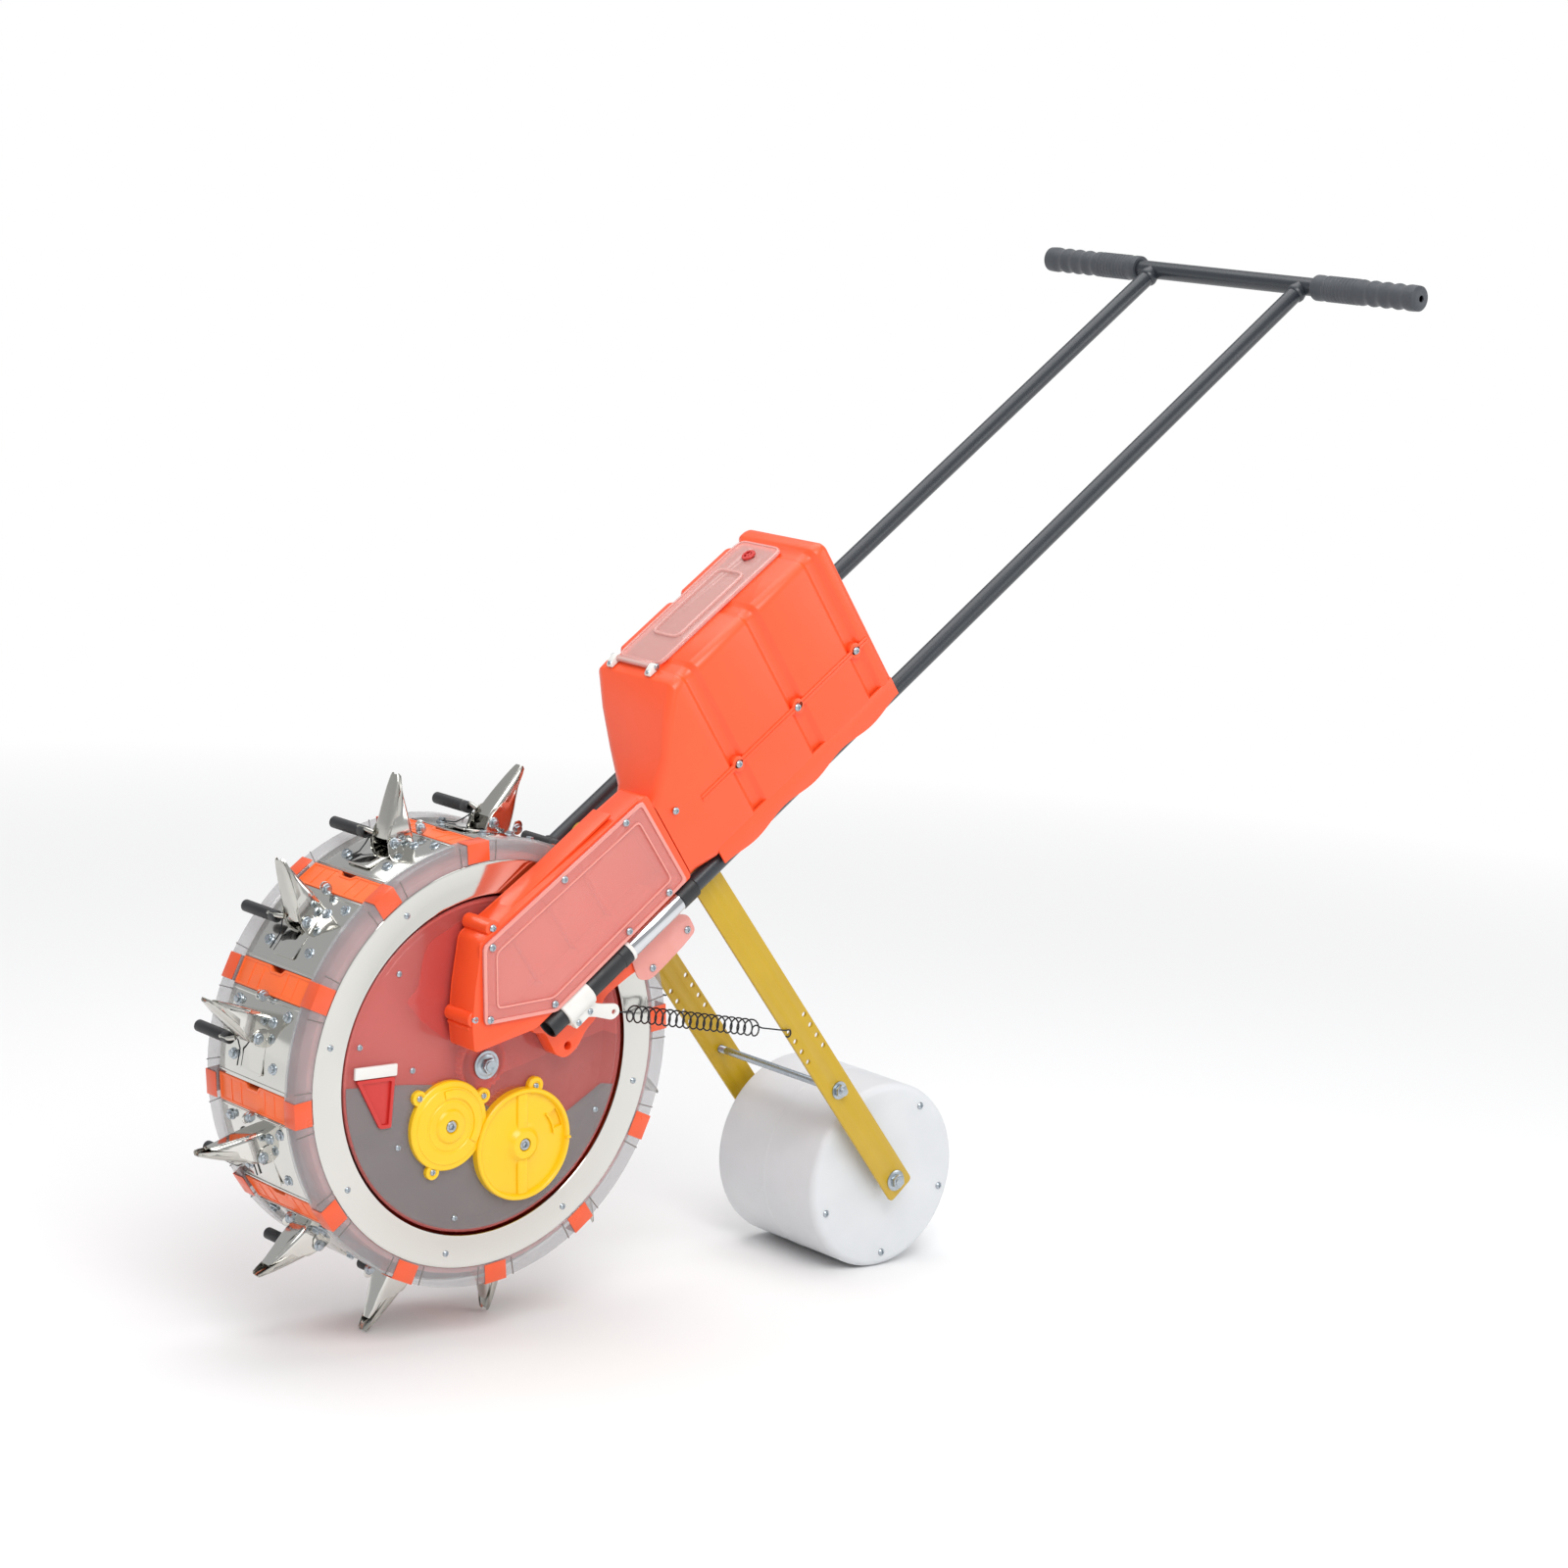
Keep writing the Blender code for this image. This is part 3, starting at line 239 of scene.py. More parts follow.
def wire(name, points, radius, sides=10):
    curve = bpy.data.curves.new(name, "CURVE")
    curve.dimensions = "3D"
    curve.bevel_depth = radius
    curve.bevel_resolution = max(0, sides // 2 - 2)
    curve.use_fill_caps = True
    spline = curve.splines.new("POLY")
    spline.points.add(len(points) - 1)
    for point, place in zip(spline.points, points):
        point.co = (*place, 1)
    piece = bpy.data.objects.new(name, curve)
    bpy.context.scene.collection.objects.link(piece)
    pick(piece)
    bpy.ops.object.convert(target="MESH")
    piece = bpy.context.active_object
    bpy.ops.object.mode_set(mode="EDIT")
    tidyMesh(1e-6)
    leaveEdit()
    return smooth(piece, 50)


def place(piece, where):
    origin, turn = where
    pick(piece)
    piece.rotation_euler = (0, -turn, 0)
    piece.location = origin
    bpy.ops.object.transform_apply(location=True, rotation=True, scale=True)
    return piece


def mirrored(piece, name):
    # the same piece on the other side of Y = 0, with its faces still pointing out
    pick(piece)
    bpy.ops.object.duplicate(linked=False)
    copy = bpy.context.active_object
    copy.name = name
    copy.data.name = name
    copy.data.transform(Matrix.Scale(-1, 4, (0, 1, 0)))
    bpy.ops.object.mode_set(mode="EDIT")
    bpy.ops.mesh.select_all(action="SELECT")
    bpy.ops.mesh.flip_normals()
    leaveEdit()
    return copy


def copied(piece, name, matrix):
    pick(piece)
    bpy.ops.object.duplicate(linked=False)
    copy = bpy.context.active_object
    copy.name = name
    copy.data.name = name
    copy.data.transform(matrix)
    return copy


def heading(point, direction):
    # stands a piece made along +Z on the point, pointing that way
    return Matrix.Translation(point) @ Vector(direction).to_track_quat("Z", "Y").to_matrix().to_4x4()


def arc(x, z, radius, start, end, steps):
    turns = [start + (end - start) * i / steps for i in range(steps + 1)]
    return [(x + radius * math.cos(a), z + radius * math.sin(a)) for a in turns]


def circle(x, z, radius, steps=24):
    return arc(x, z, radius, 0, 2 * math.pi, steps)[:-1]


def grown(outline, by):
    # each side of the outline moved out by the distance, corners kept sharp
    area = sum(a[0] * b[1] - b[0] * a[1] for a, b in zip(outline, outline[1:] + outline[:1]))
    outline = outline if area > 0 else outline[::-1]
    made = []
    for before, here, after in zip(outline[-1:] + outline[:-1], outline, outline[1:] + outline[:1]):
        first = (Vector(here) - Vector(before)).normalized()
        second = (Vector(after) - Vector(here)).normalized()
        outFirst = Vector((first.y, -first.x))
        corner = (outFirst + Vector((second.y, -second.x))).normalized()
        made.append(tuple(Vector(here) + corner * by / corner.dot(outFirst)))
    return made


def softened(outline, radius, steps=4):
    # the outline with every corner turned into a short curve
    made = []
    for before, here, after in zip(outline[-1:] + outline[:-1], outline, outline[1:] + outline[:1]):
        corner = Vector(here)
        back, ahead = Vector(before) - corner, Vector(after) - corner
        cut = min(radius, back.length * 0.45, ahead.length * 0.45)
        start, end = corner + back.normalized() * cut, corner + ahead.normalized() * cut
        for i in range(steps + 1):
            share = i / steps
            point = start * (1 - share) ** 2 + corner * 2 * share * (1 - share) + end * share ** 2
            made.append((point.x, point.y))
    return made


def dress(piece, material, body, standsFor=()):
    piece.data.materials.clear()
    piece.data.materials.append(material)
    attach(piece, body)
    if standsFor:
        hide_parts(*standsFor)
    return piece


# Materials: one maker for all finishes, then each finish with what it is.

def linear(hexColour):
    channels = [int(hexColour[i:i + 2], 16) / 255 for i in (1, 3, 5)]
    return tuple(c / 12.92 if c <= 0.04045 else ((c + 0.055) / 1.055) ** 2.4 for c in channels) + (1.0,)


def addNode(material, kind, settings=None, links=None):
    node = material.node_tree.nodes.new(kind)
    for key, value in (settings or {}).items():
        if isinstance(key, int) or key in node.inputs:
            node.inputs[key].default_value = value
        else:
            setattr(node, key, value)
    for key, source in (links or {}).items():
        material.node_tree.links.new(source, node.inputs[key])
    return node


def finish(name, look):
    # one finish: two close shades in soft patches, grain and scratches in the bump, and uneven gloss
    material = bpy.data.materials.new(name)
    material.use_nodes = True
    nodes = material.node_tree.nodes
    nodes.clear()
    place3d = addNode(material, "ShaderNodeTexCoord").outputs["Object"]
    patches = addNode(
        material, "ShaderNodeTexNoise",
        {"Scale": 1 / look["patch"], "Detail": 4.0, "Roughness": 0.55}, {"Vector": place3d},
    )
    shade = addNode(
        material, "ShaderNodeMix",
        {"data_type": "RGBA", 6: linear(look["colour"]), 7: linear(look["shade"])},
        {0: patches.outputs["Fac"]},
    )
    gloss = addNode(
        material, "ShaderNodeMapRange",
        {"From Min": 0.3, "From Max": 0.7, "To Min": look["rough"][0], "To Max": look["rough"][1]},
        {"Value": patches.outputs["Fac"]},
    )
    grain = addNode(
        material, "ShaderNodeTexNoise",
        {"Scale": 1 / look["grain"], "Detail": 2.0, "Roughness": 0.6}, {"Vector": place3d},
    )
    stretch = addNode(
        material, "ShaderNodeMapping", {"Scale": look.get("brush", (1.0, 1.0, 1.0))}, {"Vector": place3d},
    )
    scratches = addNode(
        material, "ShaderNodeTexNoise",
        {"Scale": 1 / look.get("scratch", 0.004), "Detail": 3.0}, {"Vector": stretch.outputs["Vector"]},
    )
    heights = addNode(
        material, "ShaderNodeMath", {"operation": "MULTIPLY_ADD", 1: look.get("scratchDepth", 0.0)},
        {0: scratches.outputs["Fac"], 2: grain.outputs["Fac"]},
    )
    bump = addNode(
        material, "ShaderNodeBump", {"Strength": look["bump"], "Distance": 0.0004},
        {"Height": heights.outputs["Value"]},
    )
    shader = addNode(
        material, "ShaderNodeBsdfPrincipled", look["shader"],
        {
            "Base Color": shade.outputs[2], "Roughness": gloss.outputs["Result"],
            "Normal": bump.outputs["Normal"],
        },
    )
    addNode(material, "ShaderNodeOutputMaterial", {}, {"Surface": shader.outputs["BSDF"]})
    return material


# Injection-moulded ABS: even colour, satin sheen and a fine spark-eroded grain. The grain is drawn at 0.9 mm,
# coarser than the real one, so that it shows.
orangePlastic = finish("orangeMouldedAbs", {
    "colour": "#FB5A2A", "shade": "#F4501F", "patch": 0.09, "rough": (0.30, 0.42), "grain": 0.0009,
    "bump": 0.10,
    "shader": {"IOR": 1.53, "Specular IOR Level": 0.5, "Coat Weight": 0.12, "Coat Roughness": 0.25},
})
orangeStrip = finish("orangeMouldedStrip", {
    "colour": "#FF7434", "shade": "#F8682C", "patch": 0.05, "rough": (0.28, 0.40), "grain": 0.0009,
    "bump": 0.10, "shader": {"IOR": 1.53, "Coat Weight": 0.15, "Coat Roughness": 0.2},
})
orangeTab = finish("orangeMouldedTab", {
    "colour": "#EE5A2B", "shade": "#E25224", "patch": 0.03, "rough": (0.25, 0.38), "grain": 0.0009,
    "bump": 0.08, "shader": {"IOR": 1.53, "Coat Weight": 0.2, "Coat Roughness": 0.15},
})
redPlastic = finish("salmonMouldedAbs", {
    "colour": "#DE8C84", "shade": "#D27F78", "patch": 0.08, "rough": (0.35, 0.5), "grain": 0.001,
    "bump": 0.10, "shader": {"IOR": 1.53},
})
brightRed = finish("redMouldedAbs", {
    "colour": "#D3322C", "shade": "#BC2925", "patch": 0.05, "rough": (0.3, 0.45), "grain": 0.001,
    "bump": 0.10, "shader": {"IOR": 1.53},
})
smokeGrey = finish("smokeMouldedPlastic", {
    "colour": "#837B76", "shade": "#6A625E", "patch": 0.05, "rough": (0.2, 0.4), "grain": 0.001,
    "bump": 0.08, "shader": {"IOR": 1.53},
})
smokeClear = finish("smokeClearPolycarbonate", {
    "colour": "#8F9090", "shade": "#7E8183", "patch": 0.05, "rough": (0.08, 0.2), "grain": 0.006,
    "bump": 0.05, "shader": {"IOR": 1.58, "Alpha": 0.46, "Coat Weight": 0.4, "Coat Roughness": 0.05},
})
# Tinted clear polycarbonate, 3 mm: rose in the body, glossy, faint moulding waves.
rosePlastic = finish("roseTintedPolycarbonate", {
    "colour": "#E4706A", "shade": "#DB625D", "patch": 0.12, "rough": (0.05, 0.12), "grain": 0.012,
    "bump": 0.05, "shader": {"IOR": 1.58, "Alpha": 0.34, "Coat Weight": 0.5, "Coat Roughness": 0.04},
})
roseEdge = finish("roseEdgePolycarbonate", {
    "colour": "#F4A79C", "shade": "#EE978C", "patch": 0.06, "rough": (0.08, 0.16), "grain": 0.012,
    "bump": 0.05, "shader": {"IOR": 1.58, "Alpha": 0.80, "Coat Weight": 0.5, "Coat Roughness": 0.05},
})
# The chute's cover is the same plastic over bright orange, so that it reads paler.
chuteClear = finish("roseChutePolycarbonate", {
    "colour": "#F3A59C", "shade": "#EC968E", "patch": 0.10, "rough": (0.05, 0.14), "grain": 0.010,
    "bump": 0.05, "shader": {"IOR": 1.58, "Alpha": 0.42, "Coat Weight": 0.6, "Coat Roughness": 0.05},
})
# Clear polycarbonate lips: colourless, greyed by fine handling marks.
clearPlastic = finish("clearPolycarbonate", {
    "colour": "#C3C3C5", "shade": "#A9AAAD", "patch": 0.02, "rough": (0.06, 0.2), "grain": 0.002,
    "bump": 0.06, "shader": {"IOR": 1.58, "Alpha": 0.42, "Coat Weight": 0.6, "Coat Roughness": 0.05},
})
lidClear = finish("lidPolycarbonate", {
    "colour": "#F5C3BB", "shade": "#EEB0A8", "patch": 0.04, "rough": (0.06, 0.14), "grain": 0.006,
    "bump": 0.04, "shader": {"IOR": 1.58, "Alpha": 0.50, "Coat Weight": 0.7, "Coat Roughness": 0.04},
})
# Mirror-polished stainless sheet: near-neutral, very low roughness, faint buffing lines and slow waves.
mirrorSteel = finish("mirrorPolishedStainless", {
    "colour": "#D9D8D3", "shade": "#CFCEC9", "patch": 0.15, "rough": (0.05, 0.13), "grain": 0.030,
    "bump": 0.12, "scratch": 0.0025, "scratchDepth": 0.05, "brush": (1.0, 0.15, 1.0),
    "shader": {"Metallic": 1.0},
})
# Brushed stainless sheet of the scoops: a shade darker with fingerprints.
brushedSteel = finish("brushedStainless", {
    "colour": "#CBCAC4", "shade": "#B9B7B0", "patch": 0.03, "rough": (0.14, 0.28), "grain": 0.004,
    "bump": 0.12, "scratch": 0.0012, "scratchDepth": 0.25, "brush": (0.3, 1.0, 1.0),
    "shader": {"Metallic": 1.0},
})
# Bright zinc plate on screws and nuts: bluish, slightly matt.
zincSteel = finish("zincPlatedSteel", {
    "colour": "#B9C2C8", "shade": "#A7AFB6", "patch": 0.006, "rough": (0.22, 0.38), "grain": 0.0012,
    "bump": 0.15, "shader": {"Metallic": 1.0},
})
# Decorative chrome over polished tube.
chromeSteel = finish("chromedTube", {
    "colour": "#DADCDF", "shade": "#CFD2D6", "patch": 0.05, "rough": (0.04, 0.09), "grain": 0.02,
    "bump": 0.05, "shader": {"Metallic": 1.0},
})
# Powder coat on the tubes: blue-black, satin, with the slight orange peel of a baked powder.
blackPaint = finish("blackPowderCoat", {
    "colour": "#2B3036", "shade": "#23282E", "patch": 0.12, "rough": (0.30, 0.42), "grain": 0.0022,
    "bump": 0.22, "shader": {"IOR": 1.5, "Coat Weight": 0.25, "Coat Roughness": 0.22},
})
blackPlastic = finish("blackMouldedPlastic", {
    "colour": "#1C1E20", "shade": "#26282B", "patch": 0.02, "rough": (0.34, 0.5), "grain": 0.0008,
    "bump": 0.16, "shader": {"IOR": 1.5},
})
# Soft rubber of the sleeves and grips: matt, dusty, with a sheen at grazing angles.
blackRubber = finish("blackRubberSleeve", {
    "colour": "#1B1C1E", "shade": "#2A2B2E", "patch": 0.012, "rough": (0.45, 0.62), "grain": 0.0010,
    "bump": 0.25, "shader": {"IOR": 1.52, "Sheen Weight": 0.15, "Sheen Roughness": 0.4},
})
gripRubber = finish("slateGripRubber", {
    "colour": "#41454B", "shade": "#373B41", "patch": 0.02, "rough": (0.50, 0.66), "grain": 0.0009,
    "bump": 0.28, "shader": {"IOR": 1.52, "Sheen Weight": 0.25, "Sheen Roughness": 0.4},
})
# Oil-tempered black spring wire.
springSteel = finish("blackSpringWire", {
    "colour": "#26282B", "shade": "#383A3E", "patch": 0.01, "rough": (0.25, 0.4), "grain": 0.001,
    "bump": 0.1, "shader": {"Metallic": 0.7},
})
yellowPlastic = finish("yellowMouldedAbs", {
    "colour": "#FBCB0A", "shade": "#F3BF00", "patch": 0.03, "rough": (0.28, 0.4), "grain": 0.0009,
    "bump": 0.10, "shader": {"IOR": 1.53, "Coat Weight": 0.12, "Coat Roughness": 0.2},
})
whitePlastic = finish("whiteMouldedNylon", {
    "colour": "#E9E8E4", "shade": "#DDDBD6", "patch": 0.02, "rough": (0.34, 0.48), "grain": 0.001,
    "bump": 0.12,
    "shader": {"IOR": 1.53, "Subsurface Weight": 0.15, "Subsurface Radius": (0.004, 0.004, 0.003)},
})
# Blow-moulded polyethylene roller: milky, light goes a few millimetres in, waxy and a little scuffed.
milkyPlastic = finish("milkyPolyethylene", {
    "colour": "#DFE1E3", "shade": "#CFD2D5", "patch": 0.07, "rough": (0.32, 0.48), "grain": 0.003,
    "bump": 0.14, "scratch": 0.006, "scratchDepth": 0.3, "brush": (1.0, 0.2, 1.0),
    "shader": {"IOR": 1.51, "Subsurface Weight": 0.25, "Subsurface Radius": (0.012, 0.012, 0.011)},
})
# Mustard enamel on flat steel bar: satin, thin at the edges.
mustardPaint = finish("mustardEnamel", {
    "colour": "#C8A406", "shade": "#B99500", "patch": 0.06, "rough": (0.30, 0.42), "grain": 0.002,
    "bump": 0.18, "shader": {"IOR": 1.5, "Coat Weight": 0.3, "Coat Roughness": 0.2},
})
def studioFloor():
    # white near the object, where it takes shadows, and plain light beyond, so that no horizon shows
    material = bpy.data.materials.new("paleStudioFloor")
    material.use_nodes = True
    material.node_tree.nodes.clear()
    place3d = addNode(material, "ShaderNodeTexCoord").outputs["Object"]
    reach = addNode(material, "ShaderNodeVectorMath", {"operation": "LENGTH"}, {0: place3d})
    far = addNode(
        material, "ShaderNodeMapRange", {"From Min": 1.2, "From Max": 3.5},
        {"Value": reach.outputs["Value"]},
    )
    near = addNode(
        material, "ShaderNodeBsdfPrincipled",
        {"Base Color": linear("#F4F4F4"), "Roughness": 0.7, "Specular IOR Level": 0.2},
    )
    glow = addNode(material, "ShaderNodeEmission", {"Color": linear("#FFFFFF"), "Strength": 1.0})
    both = addNode(
        material, "ShaderNodeMixShader", {},
        {0: far.outputs["Result"], 1: near.outputs["BSDF"], 2: glow.outputs["Emission"]},
    )
    addNode(material, "ShaderNodeOutputMaterial", {}, {"Surface": both.outputs["Shader"]})
    return material


paleFloor = studioFloor()
print("materials made")

# Screws, modelled once each along +Z and copied.

def panScrewAlong(name, radius, height):
    # pan head with a cross recess, seated on its origin
    head = turnedPiece(name, [
        (0.0, -0.001), (radius * 0.6, -0.001), (radius, 0.0), (radius, height * 0.45),
        (radius * 0.78, height * 0.85), (radius * 0.4, height), (0.0, height),
    ], 20)
    head.data.transform(Matrix.Rotation(math.pi / 2, 4, "X"))
    slots = []
    for size in ((radius * 0.55, radius * 0.13), (radius * 0.13, radius * 0.55)):
        slots.append(block("slot", (-size[0], -size[1], height * 0.5), (size[0], size[1], height * 1.4)))
    return smooth(cutAway(head, *slots))


def hexBoltAlong(name, radius, height, flange):
    # flanged hexagon head
    head = rod(name, 0, 0, radius, 0.0004, height, 6, radius * 0.10)
    head.data.transform(Matrix.Rotation(-math.pi / 2, 4, "X"))
    washer = turnedPiece("washer", [
        (0.0, -0.0005), (flange, -0.0005), (flange, 0.0004), (flange * 0.9, 0.0012),
        (radius * 0.8, 0.0018), (0.0, 0.0018),
    ], 28)
    washer.data.transform(Matrix.Rotation(math.pi / 2, 4, "X"))
    if max(v.co.z for v in head.data.vertices) < height * 0.5:
        head.data.transform(Matrix.Rotation(math.pi, 4, "X"))
    return joined(name, [head, washer])


def screwsAt(name, pattern, spots, material, body):
    # copies the pattern to each (point, direction) and makes them one piece
    made = [copied(pattern, f"{name}_{i}", heading(point, way)) for i, (point, way) in enumerate(spots)]
    return dress(joined(name, made), material, body)


smallScrew = panScrewAlong("smallScrew", 0.0034, 0.0022)
plateScrew = panScrewAlong("plateScrew", 0.0042, 0.0026)
smallHex = hexBoltAlong("smallHex", 0.0044, 0.0042, 0.0062)
largeHex = hexBoltAlong("largeHex", 0.0088, 0.0070, 0.0125)

# Handle: tubes, crossbar, grips, sockets, sleeves and clamps.

handleSizes = {
    "tubeRadius": 0.0101, "tubeWall": 0.0015, "tubeStart": 0.075, "barReach": 1.420, "barRadius": 0.011,
    "barHalf": 0.3065, "gripStart": 0.147, "gripEnd": 0.3085, "gripRadius": 0.0152, "socketStart": 0.063,
    "socketEnd": 0.188, "socketRadius": 0.0125, "sleeveEnd": 0.273, "collarEnd": 0.299,
    "clampStart": 0.085, "clampEnd": 0.125, "clampRadius": 0.0158,
}


def makeTube(side, name):
    size = handleSizes
    outer, inner, end = size["tubeRadius"], size["tubeRadius"] - size["tubeWall"], size["barReach"] - 0.004
    tube = turnedPiece(f"push_tube_{name}", [
        (inner, size["tubeStart"]), (outer - 0.0004, size["tubeStart"]),
        (outer, size["tubeStart"] + 0.0006), (outer, 0.5), (outer, 0.9), (outer, end), (inner, end),
    ], 40, "X")
    # a small fillet of weld where the tube meets the crossbar
    weldStart = end - size["barRadius"] - 0.004
    weld = turnedPiece("weld", [
        (inner, weldStart), (outer + 0.0004, weldStart), (outer + 0.0018, weldStart + 0.002),
        (outer + 0.0022, weldStart + 0.005), (outer + 0.0010, end - 0.005), (inner, end - 0.004),
    ], 40, "X")
    stud = rod("stud", 0.3245, 0, 0.004, 0, -side * 0.019, 20, 0.0006)
    tube = joined(f"push_tube_{name}", [tube, weld, stud])
    tube.data.transform(Matrix.Translation((0, side * tubeSpread, 0)))
    dress(place(tube, hub["tube"]), blackPaint, "frame", [f"handle_tube_{name}"])


def makeSocket(side, name):
    size = handleSizes
    outer, inner = size["socketRadius"], size["tubeRadius"] + 0.0003
    start, end = size["socketStart"], size["socketEnd"]
    socket = turnedPiece(f"tube_foot_{name}", [
        (inner, start + 0.001), (inner + 0.0008, start), (outer - 0.0010, start), (outer, start + 0.0010),
        (outer, end - 0.012), (outer + 0.0008, end - 0.011), (outer + 0.0008, end - 0.001), (outer, end),
        (inner, end),
    ], 40, "X")
    collar = turnedPiece("collar", [
        (inner, size["sleeveEnd"] + 0.0003), (outer, size["sleeveEnd"] + 0.0003),
        (outer, size["collarEnd"] - 0.002), (outer - 0.0016, size["collarEnd"]),
        (inner, size["collarEnd"]),
    ], 40, "X")
    both = joined(f"tube_foot_{name}", [socket, collar])
    both.data.transform(Matrix.Translation((0, side * tubeSpread, 0)))
    dress(place(both, hub["tube"]), blackPlastic, "frame", [f"tube_socket_{name}"])

    sleeve = turnedPiece(f"chrome_sleeve_{name}", [
        (inner, end + 0.0053), (0.0117, end + 0.0053), (0.0120, end + 0.0058),
        (0.0120, size["sleeveEnd"] - 0.0006), (0.0116, size["sleeveEnd"]), (inner, size["sleeveEnd"]),
    ], 48, "X")
    sleeve.data.transform(Matrix.Translation((0, side * tubeSpread, 0)))
    dress(place(sleeve, hub["tube"]), chromeSteel, "frame", [f"tube_sleeve_{name}"])
    washer = turnedPiece(f"sleeve_ring_{name}", [
        (inner, end + 0.0004), (0.0132, end + 0.0004), (0.0136, end + 0.0010), (0.0136, end + 0.0042),
        (0.0130, end + 0.0050), (inner, end + 0.0050),
    ], 40, "X")
    washer.data.transform(Matrix.Translation((0, side * tubeSpread, 0)))
    dress(place(washer, hub["tube"]), whitePlastic, "frame")


def makeClamp(side, name):
    size = handleSizes
    start, end, outer = size["clampStart"], size["clampEnd"], size["clampRadius"]
    band = turnedPiece("band", [
        (size["socketRadius"] + 0.0002, start), (outer - 0.0012, start), (outer, start + 0.0012),
        (outer, start + 0.008), (outer - 0.0007, start + 0.010), (outer - 0.0007, end - 0.010),
        (outer, end - 0.008), (outer, end - 0.0012), (outer - 0.0012, end),
        (size["socketRadius"] + 0.0002, end),
    ], 40, "X")
    low = -outer + 0.0006
    ear = softened([
        (start + 0.012, low), (end - 0.001, low), (end + 0.004, low - 0.008), (0.149, -0.041),
        (0.146, -0.052), (0.134, -0.052), (end - 0.008, low - 0.016),
    ], 0.006)
    plate = sheet("ear", [ear, circle(0.140, -0.045, 0.0028, 20)], -0.0019, 0.0019, 0.0006)
    # clamping lugs on the outer side, drawn together by two screws
    lugs = block(
        "lugs", (start + 0.004, -0.0045 + side * 0.0035, -outer - 0.0065),
        (end - 0.006, 0.0045 + side * 0.0035, -outer + 0.003), 0.0012,
    )
    band = joined(f"spring_band_{name}", [band, plate, lugs])
    band.data.transform(Matrix.Translation((0, side * tubeSpread, 0)))
    dress(place(band, hub["tube"]), whitePlastic, "frame", [f"spring_clamp_{name}"])
    spots = []
    for reach in (start + 0.010, end - 0.012):
        spots.append(
            (worldPoint(hub["tube"], reach, side * (tubeSpread + 0.008), -outer - 0.0022), (0, side, 0))
        )
    screwsAt(f"clamp_screws_{name}", smallScrew, spots, zincSteel, "frame")


def gripProfile():
    # plain collar, fine ribs, then four finger waves and a domed end with a vent
    size = handleSizes
    base, start, end = size["gripRadius"], size["gripStart"], size["gripEnd"]
    points = [
        (0.0113, start), (0.0150, start), (0.0158, start + 0.0015), (0.0158, start + 0.009),
        (base, start + 0.011),
    ]
    ribs, ribStart, ribPitch = 9, start + 0.018, 0.0056
    for rib in range(ribs):
        at = ribStart + rib * ribPitch
        points += [
            (base, at), (base + 0.0006, at + 0.0008), (base + 0.0006, at + 0.0026), (base, at + 0.0034),
        ]
    waveStart, waves, waveLength = ribStart + ribs * ribPitch + 0.004, 4, 0.0185
    steps = 8
    for i in range(waves * steps + 1):
        share = i / steps
        points.append(
            (base - 0.0004 + 0.0010 * math.cos(2 * math.pi * share), waveStart + share * waveLength)
        )
    points += [
        (base + 0.0004, end - 0.008), (base, end - 0.003), (base - 0.003, end - 0.0006),
        (base - 0.006, end),
    ]
    points += [(0.0042, end), (0.0040, end - 0.0016), (0.0113, end - 0.0018)]
    return points


def makeHandle():
    size = handleSizes
    for side, name in ((-1, "left"), (1, "right")):
        makeTube(side, name)
        makeSocket(side, name)
        makeClamp(side, name)
    inner = size["barRadius"] - size["tubeWall"]
    bar = turnedPiece("cross_handle", [
        (inner, -size["barHalf"]), (size["barRadius"], -size["barHalf"]), (size["barRadius"], -0.1),
        (size["barRadius"], 0.1), (size["barRadius"], size["barHalf"]), (inner, size["barHalf"]),
    ], 44)
    bar.data.transform(Matrix.Translation((size["barReach"], 0, 0)))
    dress(place(bar, hub["tube"]), blackPaint, "frame", ["handle_crossbar"])
    right = turnedPiece("hand_grip_right", gripProfile(), 48)
    left = mirrored(right, "hand_grip_left")
    for piece, name in ((right, "grip_right"), (left, "grip_left")):
        piece.data.transform(Matrix.Translation((size["barReach"], 0, 0)))
        dress(place(piece, hub["tube"]), gripRubber, "frame", [name])
    print("handle made")


# Hopper: one skin, split at its seam.

hopperSizes = {
    "left": -0.1395, "right": -0.0050, "neckLeft": -0.1300, "neckRight": -0.0620, "front": 0.3003,
    "shoulder": 0.385, "rear": 0.638, "top": 0.217, "neckTop": 0.1195, "floor": 0.0125, "seam": 0.085,
    "wall": 0.0025, "grooveDepth": 0.0052, "grooves": (0.410, 0.510, 0.608), "grooveHalf": 0.0115,
    "grooveSlope": 0.0054, "corner": 0.011,
}


